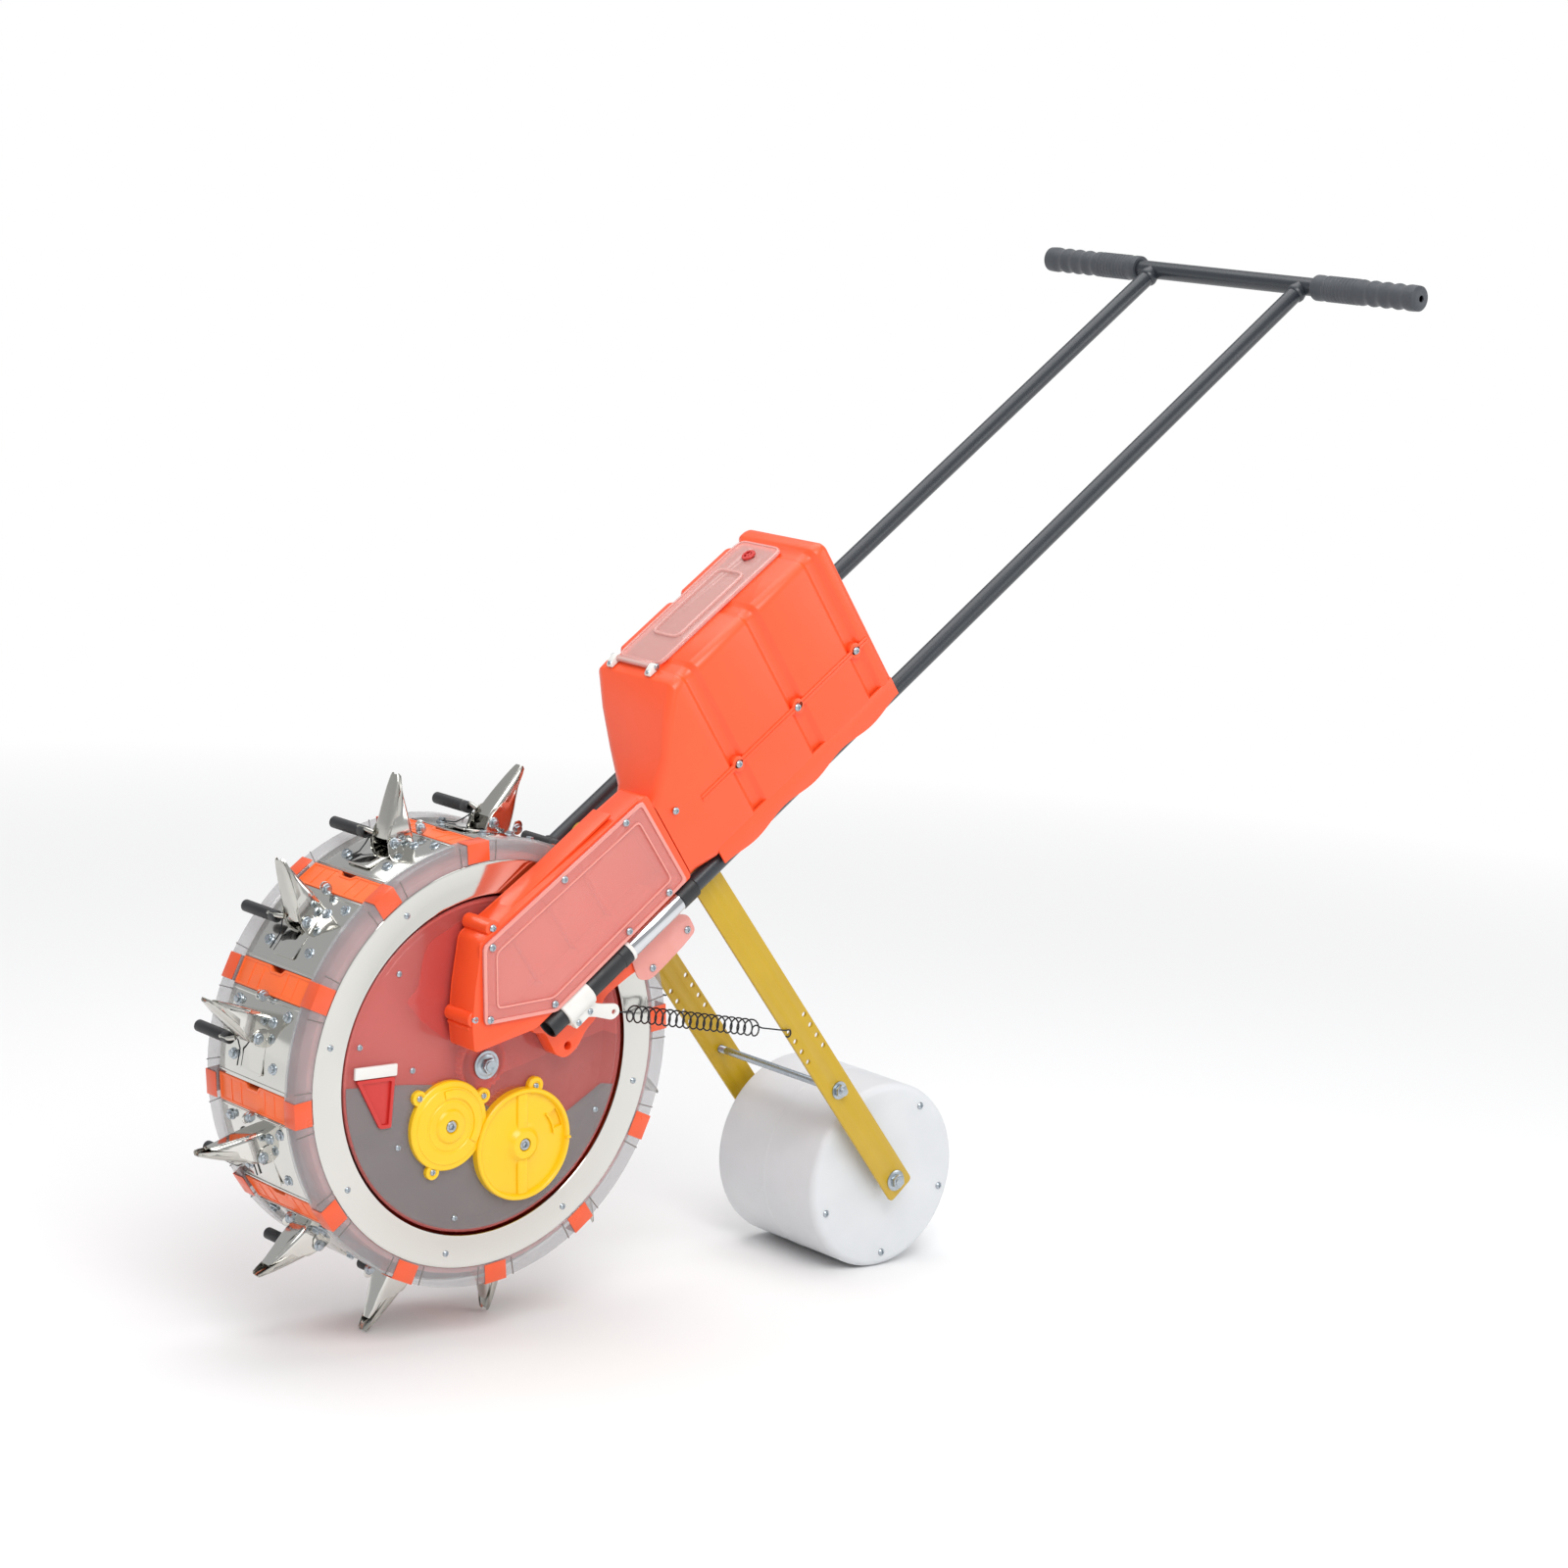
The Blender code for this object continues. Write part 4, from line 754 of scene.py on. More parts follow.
def hopperStations():
    # (reach, left, right, floor, top) from the neck back to the rear wall, stepping in at each groove
    size = hopperSizes
    stepReach = size["front"] + 0.035
    stepRight = size["neckRight"] + (size["right"] - size["neckRight"]) * 0.45
    stepTop = size["neckTop"] + (size["top"] - size["neckTop"]) * 0.36
    low = size["floor"]
    rings = [
        (size["front"], size["neckLeft"], size["neckRight"], low, size["neckTop"]),
        (size["front"] + 0.010, size["neckLeft"], size["neckRight"] + 0.004, low, size["neckTop"] + 0.006),
        (stepReach, size["left"], stepRight, low, stepTop),
        (
            stepReach + 0.024, size["left"], (stepRight + size["right"]) / 2, low,
            (stepTop + size["top"]) / 2 + 0.003,
        ),
        (size["shoulder"], size["left"], size["right"], low, size["top"] - 0.001),
    ]
    for groove in size["grooves"]:
        near, flat = size["grooveHalf"], size["grooveHalf"] - size["grooveSlope"]
        full = (size["left"], size["right"], low, size["top"])
        sunk = (
            size["left"] + size["grooveDepth"], size["right"] - size["grooveDepth"], low,
            size["top"] - 0.0022
        )
        rings += [
            (groove - near, *full), (groove - flat, *sunk), (groove + flat, *sunk),
            (groove + near, *full),
        ]
    rings.append((size["rear"], size["left"], size["right"], low, size["top"]))
    return rings


def makeHopperSkin():
    # a rectangle of edges extruded back through the stations; every extrusion is scaled to its own section
    rings = hopperStations()
    reach, left, right, low, top = rings[0]
    piece = traced(
        "hopper_skin",
        [
            (reach, left, low), (reach, right, low), (reach, right, top), (reach, left, top),
            (reach, left, low),
        ],
    )
    bpy.ops.mesh.remove_doubles(threshold=1e-6)
    for before, after in zip(rings, rings[1:]):
        bpy.ops.mesh.select_mode(type="EDGE")
        bpy.ops.mesh.extrude_region_move(TRANSFORM_OT_translate={"value": (after[0] - before[0], 0, 0)})
        scale = [
            1.0, (after[2] - after[1]) / (before[2] - before[1]),
            (after[4] - after[3]) / (before[4] - before[3]),
        ]
        middle = (after[0], (before[1] + before[2]) / 2, (before[3] + before[4]) / 2)
        bpy.ops.transform.resize(value=scale, center_override=middle)
        shift = (
            0, (after[1] + after[2] - before[1] - before[2]) / 2,
            (after[3] + after[4] - before[3] - before[4]) / 2
        )
        bpy.ops.transform.translate(value=shift)
    bpy.ops.mesh.edge_face_add()
    tidyMesh()
    leaveEdit()
    # round the four long corners and the rear wall's edges, leaving the open neck sharp
    useModifier(
        piece, "BEVEL", width=hopperSizes["corner"], segments=5, limit_method="ANGLE",
        angle_limit=math.radians(50), use_clamp_overlap=True,
    )
    # soften the edges of the grooves
    useModifier(
        piece, "BEVEL", width=0.0014, segments=2, limit_method="ANGLE", angle_limit=math.radians(28),
    )
    return piece


def halfOf(skin, name, keepAbove):
    size = hopperSizes
    half = copied(skin, name, Matrix.Identity(4))
    bpy.ops.object.mode_set(mode="EDIT")
    bpy.ops.mesh.select_all(action="SELECT")
    bpy.ops.mesh.bisect(
        plane_co=(0, 0, size["seam"]), plane_no=(0, 0, 1), clear_inner=keepAbove, clear_outer=not keepAbove,
        use_fill=False,
    )
    tidyMesh()
    leaveEdit()
    useModifier(half, "SOLIDIFY", thickness=size["wall"], offset=-1.0, use_even_offset=True)
    return smooth(half, 26)


def makeHopper():
    size = hopperSizes
    skin = makeHopperSkin()
    upper = halfOf(skin, "hopper_top_half", True)
    lower = halfOf(skin, "hopper_bottom_half", False)
    bpy.data.objects.remove(skin)
    hole = block(
        "hole", (0.406, -0.0915, size["top"] - 0.02), (0.604, -0.0315, size["top"] + 0.02), 0.008, 4,
    )
    cutAway(upper, hole)
    # raised rim round the filling opening and the lip over the seam
    rim = block(
        "rim", (0.4035, -0.094, size["top"] - 0.0030), (0.6065, -0.029, size["top"] + 0.0002), 0.001,
    )
    rimHole = block(
        "rimHole", (0.406, -0.0915, size["top"] - 0.02), (0.604, -0.0315, size["top"] + 0.02), 0.008, 4,
    )
    cutAway(rim, rimHole)
    upper = joined(
        "hopper_top_half",
        [smooth(upper, 26), rim, *seamLip(size["seam"] + 0.0006, size["seam"] + 0.0040, 0.0012)],
    )
    dress(place(upper, hub["tube"]), orangePlastic, "frame", ["hopper_upper_shell"])

    pads = seamLip(size["seam"] - 0.0035, size["seam"] + 0.0002, 0.0012)
    lower = joined("hopper_bottom_half", [lower, *pads, *skirtPieces()])
    dress(place(lower, hub["tube"]), orangePlastic, "frame", ["hopper_lower_shell"])

    spots = []
    for reach, up in ((0.608, 0.085), (0.508, 0.085), (0.410, 0.085), (0.318, 0.094)):
        outside = size["left"] - 0.0016 if reach > 0.35 else size["neckLeft"] - 0.004
        spots.append((worldPoint(hub["tube"], reach, outside, up), (0, -1, 0)))
        spots.append((worldPoint(hub["tube"], max(reach, 0.40), size["right"] + 0.0016, up), (0, 1, 0)))
    screwsAt("hopper_screws", plateScrew, spots, zincSteel, "frame")


def seamLip(low, high, proud):
    # a narrow flange along both long sides and the rear of the seam
    size = hopperSizes
    made = []
    left, right, rear, front = size["left"], size["right"], size["rear"], size["front"] + 0.050
    for y0, y1 in ((left - proud, left + 0.001), (right - 0.001, right + proud)):
        made.append(block("lip", (front, y0, low), (rear - 0.009, y1, high), 0.0006))
    made.append(
        block("lip", (rear - 0.001, left + 0.010, low), (rear + proud, right - 0.010, high), 0.0006)
    )
    # round pads under the seam screws
    for reach in size["grooves"]:
        for y0, y1 in ((left - proud * 1.3, left + 0.006), (right - 0.006, right + proud * 1.3)):
            made.append(rod("pad", reach, (low + high) / 2, 0.0072, y0, y1, 24, 0.0006))
    return made


def skirtPieces():
    # scalloped skirt below the floor on the near side, over the tube
    size = hopperSizes
    low = -0.0045
    bottom = []
    waves, start, end, steps = 3, size["front"] + 0.038, size["rear"] - 0.003, 42
    for i in range(steps + 1):
        share = i / steps
        dip = 0.5 - 0.5 * math.cos(2 * math.pi * waves * share)
        bottom.append((start + (end - start) * share, low + 0.006 * (1 - dip)))
    outline = [(end, size["floor"] + 0.012), (start, size["floor"] + 0.012)] + bottom
    skirt = sheet("skirt", [outline], size["left"] + 0.0002, size["left"] + 0.0030, 0.0006)
    return [skirt]


def makeLid():
    half = 0.036
    rear = 0.210
    plan = softened([(0.004, -half), (rear, -half), (rear, half), (0.004, half)], 0.013, 6)
    keyhole = []
    for i in range(32):
        turn = 2 * math.pi * i / 32
        reach = 0.0064 + 0.0020 * math.cos(4 * turn)
        keyhole.append((0.188 + reach * math.cos(turn), reach * math.sin(turn)))
    plate = sheet("plate", [plan, keyhole], -0.0012, 0.0016, 0.0008, 3)
    recess = softened([(0.050, -0.0195), (0.158, -0.0195), (0.158, 0.0195), (0.050, 0.0195)], 0.008, 5)
    raised = sheet("raised", [grown(recess, 0.0035), recess], 0.0012, 0.0042, 0.0008)
    rimOuter = grown(plan, -0.0006)
    rim = sheet("rim", [rimOuter, grown(plan, -0.0030)], 0.0012, 0.0030, 0.0005)
    knuckle = rod("knuckle", 0, 0.0042 - 0.0042, 0.0040, -half + 0.008, half - 0.008, 24, 0.0005)
    flat = joined("lid_plate", [plate, raised, rim])
    # sheets stand upright, so the lid is laid down on the hopper's top
    flat.data.transform(Matrix.Translation((0, 0, -0.0029)) @ Matrix.Rotation(math.pi / 2, 4, "X"))
    web = block("web", (0.001, -half + 0.009, -0.0038), (0.008, half - 0.009, -0.0012), 0.0005)
    lid = joined("clear_lid", [flat, knuckle, web])
    dress(place(lid, hub["lid"]), lidClear, "lid", ["hopper_lid"])

    ring = turnedPiece(
        "lid_latch",
        [
            (0.0048, -0.0010), (0.0078, -0.0010), (0.0082, -0.0004), (0.0082, 0.0012), (0.0074, 0.0020),
            (0.0048, 0.0020),
        ],
        32,
    )
    cross = [
        block("bar", (-0.0072, -0.0006, -0.0014), (0.0072, 0.0014, 0.0014), 0.0004),
        block("bar", (-0.0014, -0.0006, -0.0072), (0.0014, 0.0014, 0.0072), 0.0004),
    ]
    latch = joined("lid_latch", [ring, *cross])
    latch.data.transform(Matrix.Translation((0.188, 0, -0.0002)) @ Matrix.Rotation(math.pi / 2, 4, "X"))
    dress(place(latch, hub["lid"]), brightRed, "lid")

    posts = []
    for side in (-1, 1):
        inner, outer = side * (half - 0.0076), side * (half + 0.0010)
        low, high = min(inner, outer), max(inner, outer)
        profile = softened(
            [
                (-0.013, -0.0042), (0.0030, -0.0042), (0.0036, 0.0010), (0.0, 0.0044), (-0.006, 0.0030),
                (-0.013, -0.0006),
            ],
            0.0022,
        )
        posts.append(sheet("post", [profile], low, high, 0.0007))
    pin = rod("pin", 0, 0, 0.0015, -half + 0.002, half - 0.002, 16)
    hinge = joined("lid_hinge_clips", [*posts, pin])
    dress(place(hinge, hub["lid"]), whitePlastic, "frame", ["lid_hinge"])
    spots = [
        (
            worldPoint(hub["lid"], -0.0095, side * (half - 0.0033), -0.0005),
            (-math.sin(tilt), 0, math.cos(tilt)),
        ) for side in (-1, 1)
    ]
    spots += [(worldPoint(hub["lid"], 0.0, side * (half + 0.0012), 0.0), (0, side, 0)) for side in (-1, 1)]
    screwsAt("hinge_screws", smallScrew, spots, zincSteel, "frame")
    print("hopper and lid made")

# Chute: hollow body with its cradle for the tube, and the clear cover.

chuteSizes = {
    "face": -0.1295, "back": -0.0860, "wall": 0.0028, "cradleFace": -0.1065, "coverFace": -0.1328,
    "outline": [(0.290, 0.0175), (0.2885, 0.1325), (0.044, 0.138), (0.000, 0.066), (0.079, 0.0140)],
    "bosses": [(0.066, 0.1435), (-0.0045, 0.0760)],
    "coverScrews": [
        (0.259, 0.127), (0.163, 0.129), (0.052, 0.130), (0.008, 0.066), (0.081, 0.0225), (0.1995, 0.0225),
        (0.264, 0.0225),
    ],
}


def makeChute():
    size = chuteSizes
    outer = softened([
        (0.2995, 0.0135), (0.2995, 0.1320), (0.048, 0.1420), (0.012, 0.1030), (-0.012, 0.0720),
        (-0.025, 0.0464), (0.050, 0.0138),
    ], 0.006)
    inner = softened(grown(size["outline"], -0.0050), 0.006)
    walls = sheet("walls", [outer, inner], size["face"], size["back"] - size["wall"] + 0.0004, 0.0008)
    back = sheet("back", [outer], size["back"] - size["wall"], size["back"], 0.0008)
    # the back plate's flange, and the cradle that holds the tube
    cradle = softened([
        (0.052, 0.030), (0.055, -0.006), (0.066, -0.014), (0.064, -0.046), (0.072, -0.058),
        (0.090, -0.059), (0.110, -0.050), (0.126, -0.049), (0.150, -0.036), (0.190, -0.040),
        (0.205, -0.044), (0.2605, -0.040), (0.2605, 0.030),
    ], 0.007)
    cradlePlate = sheet(
        "cradle", [cradle, circle(0.0816, -0.0475, 0.0045)], size["cradleFace"], size["back"] + 0.0006,
        0.0012,
    )
    parts = [walls, back, cradlePlate]
    for low, high in ((0.067, 0.081), (0.129, 0.184)):
        parts.append(
            block("rib", (low, -0.1118, -0.0078), (high, size["cradleFace"] + 0.001, 0.0078), 0.001)
        )
    # tubular bosses with bored ends, and webs along the near wall
    for x, z in size["bosses"]:
        boss = turnedPiece("boss", [
            (0.0034, size["face"] + 0.0018), (0.0078, size["face"] + 0.0018),
            (0.0085, size["face"] + 0.0026), (0.0085, size["back"] + 0.0006),
            (0.0034, size["back"] + 0.0006),
        ], 28)
        boss.data.transform(Matrix.Translation((x, 0, z)))
        parts.append(boss)
        parts.append(
            block(
                "web", (x - 0.010, size["face"] + 0.006, z - 0.012), (x + 0.010, size["back"], z - 0.004),
                0.001,
            )
        )
    ledge = sheet(
        "ledge",
        [softened(grown(size["outline"], 0.0022), 0.005), softened(grown(size["outline"], -0.0035), 0.005)],
        size["face"] + 0.0002, size["face"] + 0.004, 0.0006,
    )
    parts.append(ledge)
    # stepped rib on the near top edge, that the far bosses stand on
    parts.append(
        block("shelf", (0.10, size["face"] + 0.010, 0.1365), (0.255, size["back"] - 0.004, 0.1400), 0.001)
    )
    chute = joined("seed_chute", parts)
    dress(place(chute, hub["tube"]), orangePlastic, "frame", ["chute_body"])

    # agitator ribs on the chute's back wall, seen through the cover
    ribs = []
    for reach in (0.095, 0.150, 0.205):
        ribs.append(
            block(
                "rib", (reach, size["back"] - 0.014, 0.030), (reach + 0.0025, size["back"] - 0.002, 0.118),
                0.0008,
            )
        )
    guide = joined("chute_guides", ribs)
    dress(place(guide, hub["tube"]), orangePlastic, "frame")

    clamp = rod("clamp", 0, 0, 0.0166, 0.0846, 0.1254, 40)
    clamp.data.transform(Matrix.Rotation(-math.pi / 2, 4, "Z"))
    clamp.data.transform(Matrix.Translation((0, -tubeSpread, 0)))
    plate = sheet(
        "plate", [softened(size["outline"], 0.005)], size["coverFace"], size["face"] - 0.0003, 0.0007,
    )
    cutAway(plate, clamp)
    dress(place(renamed(plate, "chute_window"), hub["tube"]), chuteClear, "frame", ["chute_cover"])
    border = sheet(
        "border",
        [softened(grown(size["outline"], 0.0004), 0.005), softened(grown(size["outline"], -0.0036), 0.005)],
        size["coverFace"] - 0.0012, size["coverFace"] + 0.0004, 0.0005,
    )
    line = sheet(
        "line",
        [
            softened(grown(size["outline"], -0.0150), 0.006),
            softened(grown(size["outline"], -0.0168), 0.006),
        ],
        size["coverFace"] - 0.0020, size["coverFace"] + 0.0004, 0.0005,
    )
    frameOfCover = joined("chute_window_border", [border, line])
    clampAgain = rod("clamp", 0, 0, 0.0166, 0.0846, 0.1254, 40)
    clampAgain.data.transform(Matrix.Rotation(-math.pi / 2, 4, "Z"))
    clampAgain.data.transform(Matrix.Translation((0, -tubeSpread, 0)))
    cutAway(frameOfCover, clampAgain)
    dress(place(frameOfCover, hub["tube"]), roseEdge, "frame")

    seat = size["coverFace"] - 0.0004
    spots = [(worldPoint(hub["tube"], x, seat, z), (0, -1, 0)) for x, z in size["coverScrews"]]
    spots += [(worldPoint(hub["tube"], x, size["face"] + 0.0018, z), (0, -1, 0)) for x, z in size["bosses"]]
    screwsAt("cover_screws", plateScrew, spots, zincSteel, "frame")

    # clear flange behind the tube's foot, screwed to the cradle
    flange = softened(
        [
            (0.196, -0.030), (0.192, -0.050), (0.205, -0.0615), (0.226, -0.0615), (0.262, -0.060),
            (0.283, -0.057), (0.284, -0.034), (0.270, -0.022), (0.262, 0.010), (0.205, 0.010),
        ],
        0.007,
    )
    wing = sheet("tube_flange", [flange], size["cradleFace"] - 0.0024, size["cradleFace"] - 0.0004, 0.0006)
    dress(place(wing, hub["tube"]), roseEdge, "frame")
    seat = size["cradleFace"] - 0.0024
    wingScrews = ((0.2737, -0.0478), (0.2142, -0.0516))
    spots = [(worldPoint(hub["tube"], x, seat, z), (0, -1, 0)) for x, z in wingScrews]
    screwsAt("flange_screws", plateScrew, spots, zincSteel, "frame")
    print("chute made")


def renamed(piece, name):
    piece.name = name
    piece.data.name = name
    return piece


# Side discs, seed chamber, axle and yellow covers.

discSizes = {
    "radius": 0.183, "face": 0.0808, "wall": 0.003, "axleRadius": 0.006,
    "idler": (0.0771, -165.7), "seed": (0.1048, -97.6), "coverRadius": 0.049, "boxRadius": 0.0620,
    "idlerRadius": 0.0455, "idlerTeeth": 38, "seedTeeth": 48, "idlerWidth": 0.010, "seedWidth": 0.016,
    "screws": [
        (-0.165, 0.036), (-0.096, 0.004), (-0.109, -0.078), (0.153, -0.067), (0.114, -0.095),
        (0.020, 0.150), (-0.120, 0.110), (0.135, 0.090), (-0.030, -0.165),
    ],
}


def gearPlaces():
    # centres of the two covers in the handle's axes
    out = []
    for reach, degrees in (discSizes["idler"], discSizes["seed"]):
        out.append((reach * math.cos(math.radians(degrees)), reach * math.sin(math.radians(degrees))))
    return out


def discProfile(hole):
    size = discSizes
    face, low, radius = size["face"], size["face"] - size["wall"], size["radius"]
    return [
        (hole, low), (radius - 0.001, low), (radius, low + 0.001), (radius, face - 0.0006),
        (radius - 0.0006, face), (radius - 0.0050, face), (radius - 0.0058, face - 0.0006),
        (radius - 0.0072, face - 0.0006), (radius - 0.0080, face), (0.030, face), (0.029, face + 0.0008),
        (0.020, face + 0.0008), (0.019, face), (hole, face),
    ]


def makeDiscs():
    size = discSizes
    right = turnedPiece("clear_disc_right", discProfile(0.0063), 128)
    left = mirrored(right, "clear_disc_left")
    dress(place(left, hub["handle"]), rosePlastic, "frame", ["side_disc_left"])
    pads = [
        block("pad", (0.067, 0.0785, tubeRise - 0.010), (0.081, 0.1107, tubeRise + 0.010), 0.0015),
        block("pad", (0.129, 0.0785, tubeRise - 0.010), (0.166, 0.1107, tubeRise + 0.010), 0.0015),
    ]
    webs = [block("web", (0.060, 0.0800, tubeRise - 0.030), (0.175, 0.0835, tubeRise + 0.030), 0.0015)]
    saddle = joined("tube_saddle_right", pads + webs)
    dress(place(saddle, hub["handle"]), orangePlastic, "frame")
    dress(place(right, hub["handle"]), rosePlastic, "frame", ["side_disc_right"])
    for side, name in ((-1, "left"), (1, "right")):
        spots = []
        for x, z in size["screws"]:
            spots.append((axle + Vector((x, side * (size["face"] - 0.0002), z)), (0, side, 0)))
        screwsAt(f"disc_screws_{name}", smallScrew, spots, zincSteel, "frame")

    # seed chamber behind the left disc: red wall above, smoke-grey below, with a rim that meets the disc
    depth0, depth1 = -0.0560, -0.0535
    split = math.radians(-14)  # the chord's slope in the machine's upright axes
    chordDrop = -0.030
    for name, keepUp, material in (
        ("chamber_wall_upper", True, redPlastic), ("chamber_wall_lower", False, smokeGrey),
    ):
        wall = turnedPiece(
            name,
            [
                (0.023, depth0), (0.178, depth0), (0.178, -0.0776), (0.1800, -0.0776), (0.1800, depth1),
                (0.023, depth1),
            ],
            96,
        )
        bpy.ops.object.mode_set(mode="EDIT")
        bpy.ops.mesh.select_all(action="SELECT")
        bpy.ops.mesh.bisect(
            plane_co=(0, 0, chordDrop), plane_no=(math.sin(split), 0, math.cos(split)), use_fill=True,
            clear_inner=keepUp, clear_outer=not keepUp,
        )
        tidyMesh()
        leaveEdit()
        wall.data.transform(Matrix.Translation(axle))
        dress(smooth(wall), material, "frame")

    # darker red chamber behind the disc round the chute's mouth
    back = -size["face"] + size["wall"] + 0.0008
    mouth = sheet("chamber_mouth", [softened([
        (-0.027, 0.166), (-0.080, 0.140), (-0.088, 0.122), (-0.091, 0.092), (-0.106, 0.078),
        (-0.086, 0.056), (-0.049, 0.030), (0.000, 0.032), (0.060, 0.080), (0.080, 0.140), (0.030, 0.166),
    ], 0.006, 4)], back, back + 0.0012, 0.0003)
    mouth.data.transform(Matrix.Translation(axle))
    dress(mouth, brightRed, "frame")
    # smoke-clear lower window on the disc's face, under the yellow covers
    edge = arc(0, 0, 0.1800, math.radians(-178), math.radians(-13), 64)
    inset = [(0.158, -0.038), (0.114, -0.064), (0.020, -0.052), (-0.071, -0.014), (-0.107, -0.010)]
    window = sheet("smoke_window", [edge + inset], -size["face"] - 0.00028, -size["face"] - 0.00004)
    window.data.transform(Matrix.Translation(axle))
    dress(window, smokeClear, "frame")

    makeAxle()
    makeCovers()
    makeSight()
    print("discs and covers made")


def makeAxle():
    ends = []
    for side in (-1, 1):
        washer = turnedPiece(
            "washer", [(0.0, 0.0811), (0.0158, 0.0811), (0.0160, 0.0814), (0.0156, 0.0824), (0.0, 0.0824)],
            36,
        )
        bolt = copied(largeHex, "bolt", heading((0, 0.0822, 0), (0, 1, 0)))
        dimple = turnedPiece(
            "dimple",
            [
                (0.0, 0.0885), (0.0050, 0.0885), (0.0060, 0.0895), (0.0058, 0.0903), (0.0040, 0.0903),
                (0.0030, 0.0897), (0.0, 0.0897),
            ],
            24,
        )
        end = joined("end", [washer, bolt, dimple])
        if side < 0:
            far = mirrored(end, "far")
            bpy.data.objects.remove(end)
            end = far
        ends.append(end)
    bar = rod("bar", 0, 0, discSizes["axleRadius"], -0.0815, 0.0815, 32)
    whole = joined("axle_and_nuts", [bar, *ends])
    dress(place(whole, hub["handle"]), zincSteel, "frame", ["axle"])


def makeCovers():
    # everything is made facing +Y and mirrored to the near side at the end
    size = discSizes
    front = size["face"] + 0.0003
    (ix, iz), (sx, sz) = gearPlaces()

    radius = size["coverRadius"]
    body = turnedPiece("body", [
        (0.0, front), (radius, front), (radius, front + 0.0050), (radius - 0.0012, front + 0.0062),
        (radius - 0.0060, front + 0.0068), (radius - 0.0072, front + 0.0078), (0.0300, front + 0.0082),
        (0.0290, front + 0.0074), (0.0275, front + 0.0074), (0.0265, front + 0.0082),
        (0.0190, front + 0.0084), (0.0170, front + 0.0108), (0.0160, front + 0.0114),
        (0.0080, front + 0.0115), (0.0070, front + 0.0090), (0.0045, front + 0.0088),
        (0.0, front + 0.0088),
    ], 72)
    parts = [body]
    body.data.transform(Matrix.Translation((ix, 0, iz)))
    earSpots = []
    for degrees in (103, -5, -146):
        turn = math.radians(degrees)
        ex, ez = ix + (radius + 0.003) * math.cos(turn), iz + (radius + 0.003) * math.sin(turn)
        ear = turnedPiece(
            "ear",
            [
                (0.0, front), (0.0085, front), (0.0085, front + 0.0044), (0.0078, front + 0.0054),
                (0.0052, front + 0.0054), (0.0046, front + 0.0046), (0.0, front + 0.0046),
            ],
            32,
        )
        ear.data.transform(Matrix.Translation((ex, 0, ez)))
        parts.append(ear)
        earSpots.append((ex, ez))
    # a low step on the right-hand third
    step = sheet(
        "step", [arc(0, 0, 0.0400, -1.2, 1.2, 20) + arc(0, 0, 0.0310, 1.2, -1.2, 20)], front + 0.0078,
        front + 0.0094, 0.0005,
    )
    step.data.transform(Matrix.Translation((ix, 0, iz)))
    parts.append(step)
    cover = joined("meter_housing", parts)
    near = mirrored(cover, "meter_housing_near")
    bpy.data.objects.remove(cover)
    dress(
        place(renamed(near, "meter_housing"), hub["handle"]), yellowPlastic, "frame",
        ["meter_cover"],
    )

    # the seed housing: a dish with a raised rim, a broad ridge across it, a boss and a feed slot at its right
    radius = size["boxRadius"]
    body = turnedPiece("body", [
        (0.0, front), (radius, front), (radius, front + 0.0084), (radius - 0.0012, front + 0.0098),
        (radius - 0.0042, front + 0.0100), (radius - 0.0054, front + 0.0088),
        (radius - 0.0064, front + 0.0048), (0.0240, front + 0.0046), (0.0185, front + 0.0070),
        (0.0160, front + 0.0104), (0.0148, front + 0.0112), (0.0075, front + 0.0113),
        (0.0068, front + 0.0085), (0.0, front + 0.0085),
    ], 80)
    tabTurn = math.radians(41)
    tabX, tabZ = (radius + 0.002) * math.cos(tabTurn), (radius + 0.002) * math.sin(tabTurn)
    tab = turnedPiece("tab", [
        (0.0, front), (0.0100, front), (0.0100, front + 0.0050), (0.0090, front + 0.0062),
        (0.0055, front + 0.0062), (0.0048, front + 0.0052), (0.0, front + 0.0052),
    ], 32)
    tab.data.transform(Matrix.Translation((tabX, 0, tabZ)))
    upright = Matrix.Rotation(tilt - math.radians(4), 4, "Y")
    slot = sheet(
        "slot", [arc(0, 0, 0.0545, 0.20, 0.62, 14) + arc(0, 0, 0.0440, 0.62, 0.20, 14)], front + 0.0012,
        front + 0.02,
    )
    slot.data.transform(upright)
    cutAway(body, slot)
    ribs = []
    for low, high in ((0.0150, 0.0572), (-0.0572, -0.0150)):
        ridge = block("ridge", (-0.0070, front + 0.0030, low), (0.0070, front + 0.0078, high), 0.0026, 4)
        ribs.append(ridge)
    ribs.append(sheet(
        "rib", [arc(0, 0, 0.0426, 0.10, 0.72, 16) + arc(0, 0, 0.0408, 0.72, 0.10, 16)], front + 0.0040,
        front + 0.0076,
        0.0005,
    ))
    ribs.append(
        block("pointer", (0.0560, front + 0.0070, -0.0040), (0.0618, front + 0.0116, -0.0012), 0.0006)
    )
    for rib in ribs:
        rib.data.transform(upright)
    box = joined("seed_housing", [body, tab, *ribs])
    box.data.transform(Matrix.Translation((sx, 0, sz)))
    near = mirrored(box, "seed_housing_near")
    bpy.data.objects.remove(box)
    dress(
        place(renamed(smooth(near), "seed_housing"), hub["handle"]), yellowPlastic, "frame",
        ["seed_box"],
    )
    tabX, tabZ = sx + tabX, sz + tabZ

    spots = [(worldPoint(hub["handle"], x, -front - 0.0044, z), (0, -1, 0)) for x, z in earSpots]
    spots.append((worldPoint(hub["handle"], tabX, -front - 0.0050, tabZ), (0, -1, 0)))
    screwsAt("yellow_cover_screws", smallScrew, spots, zincSteel, "frame")
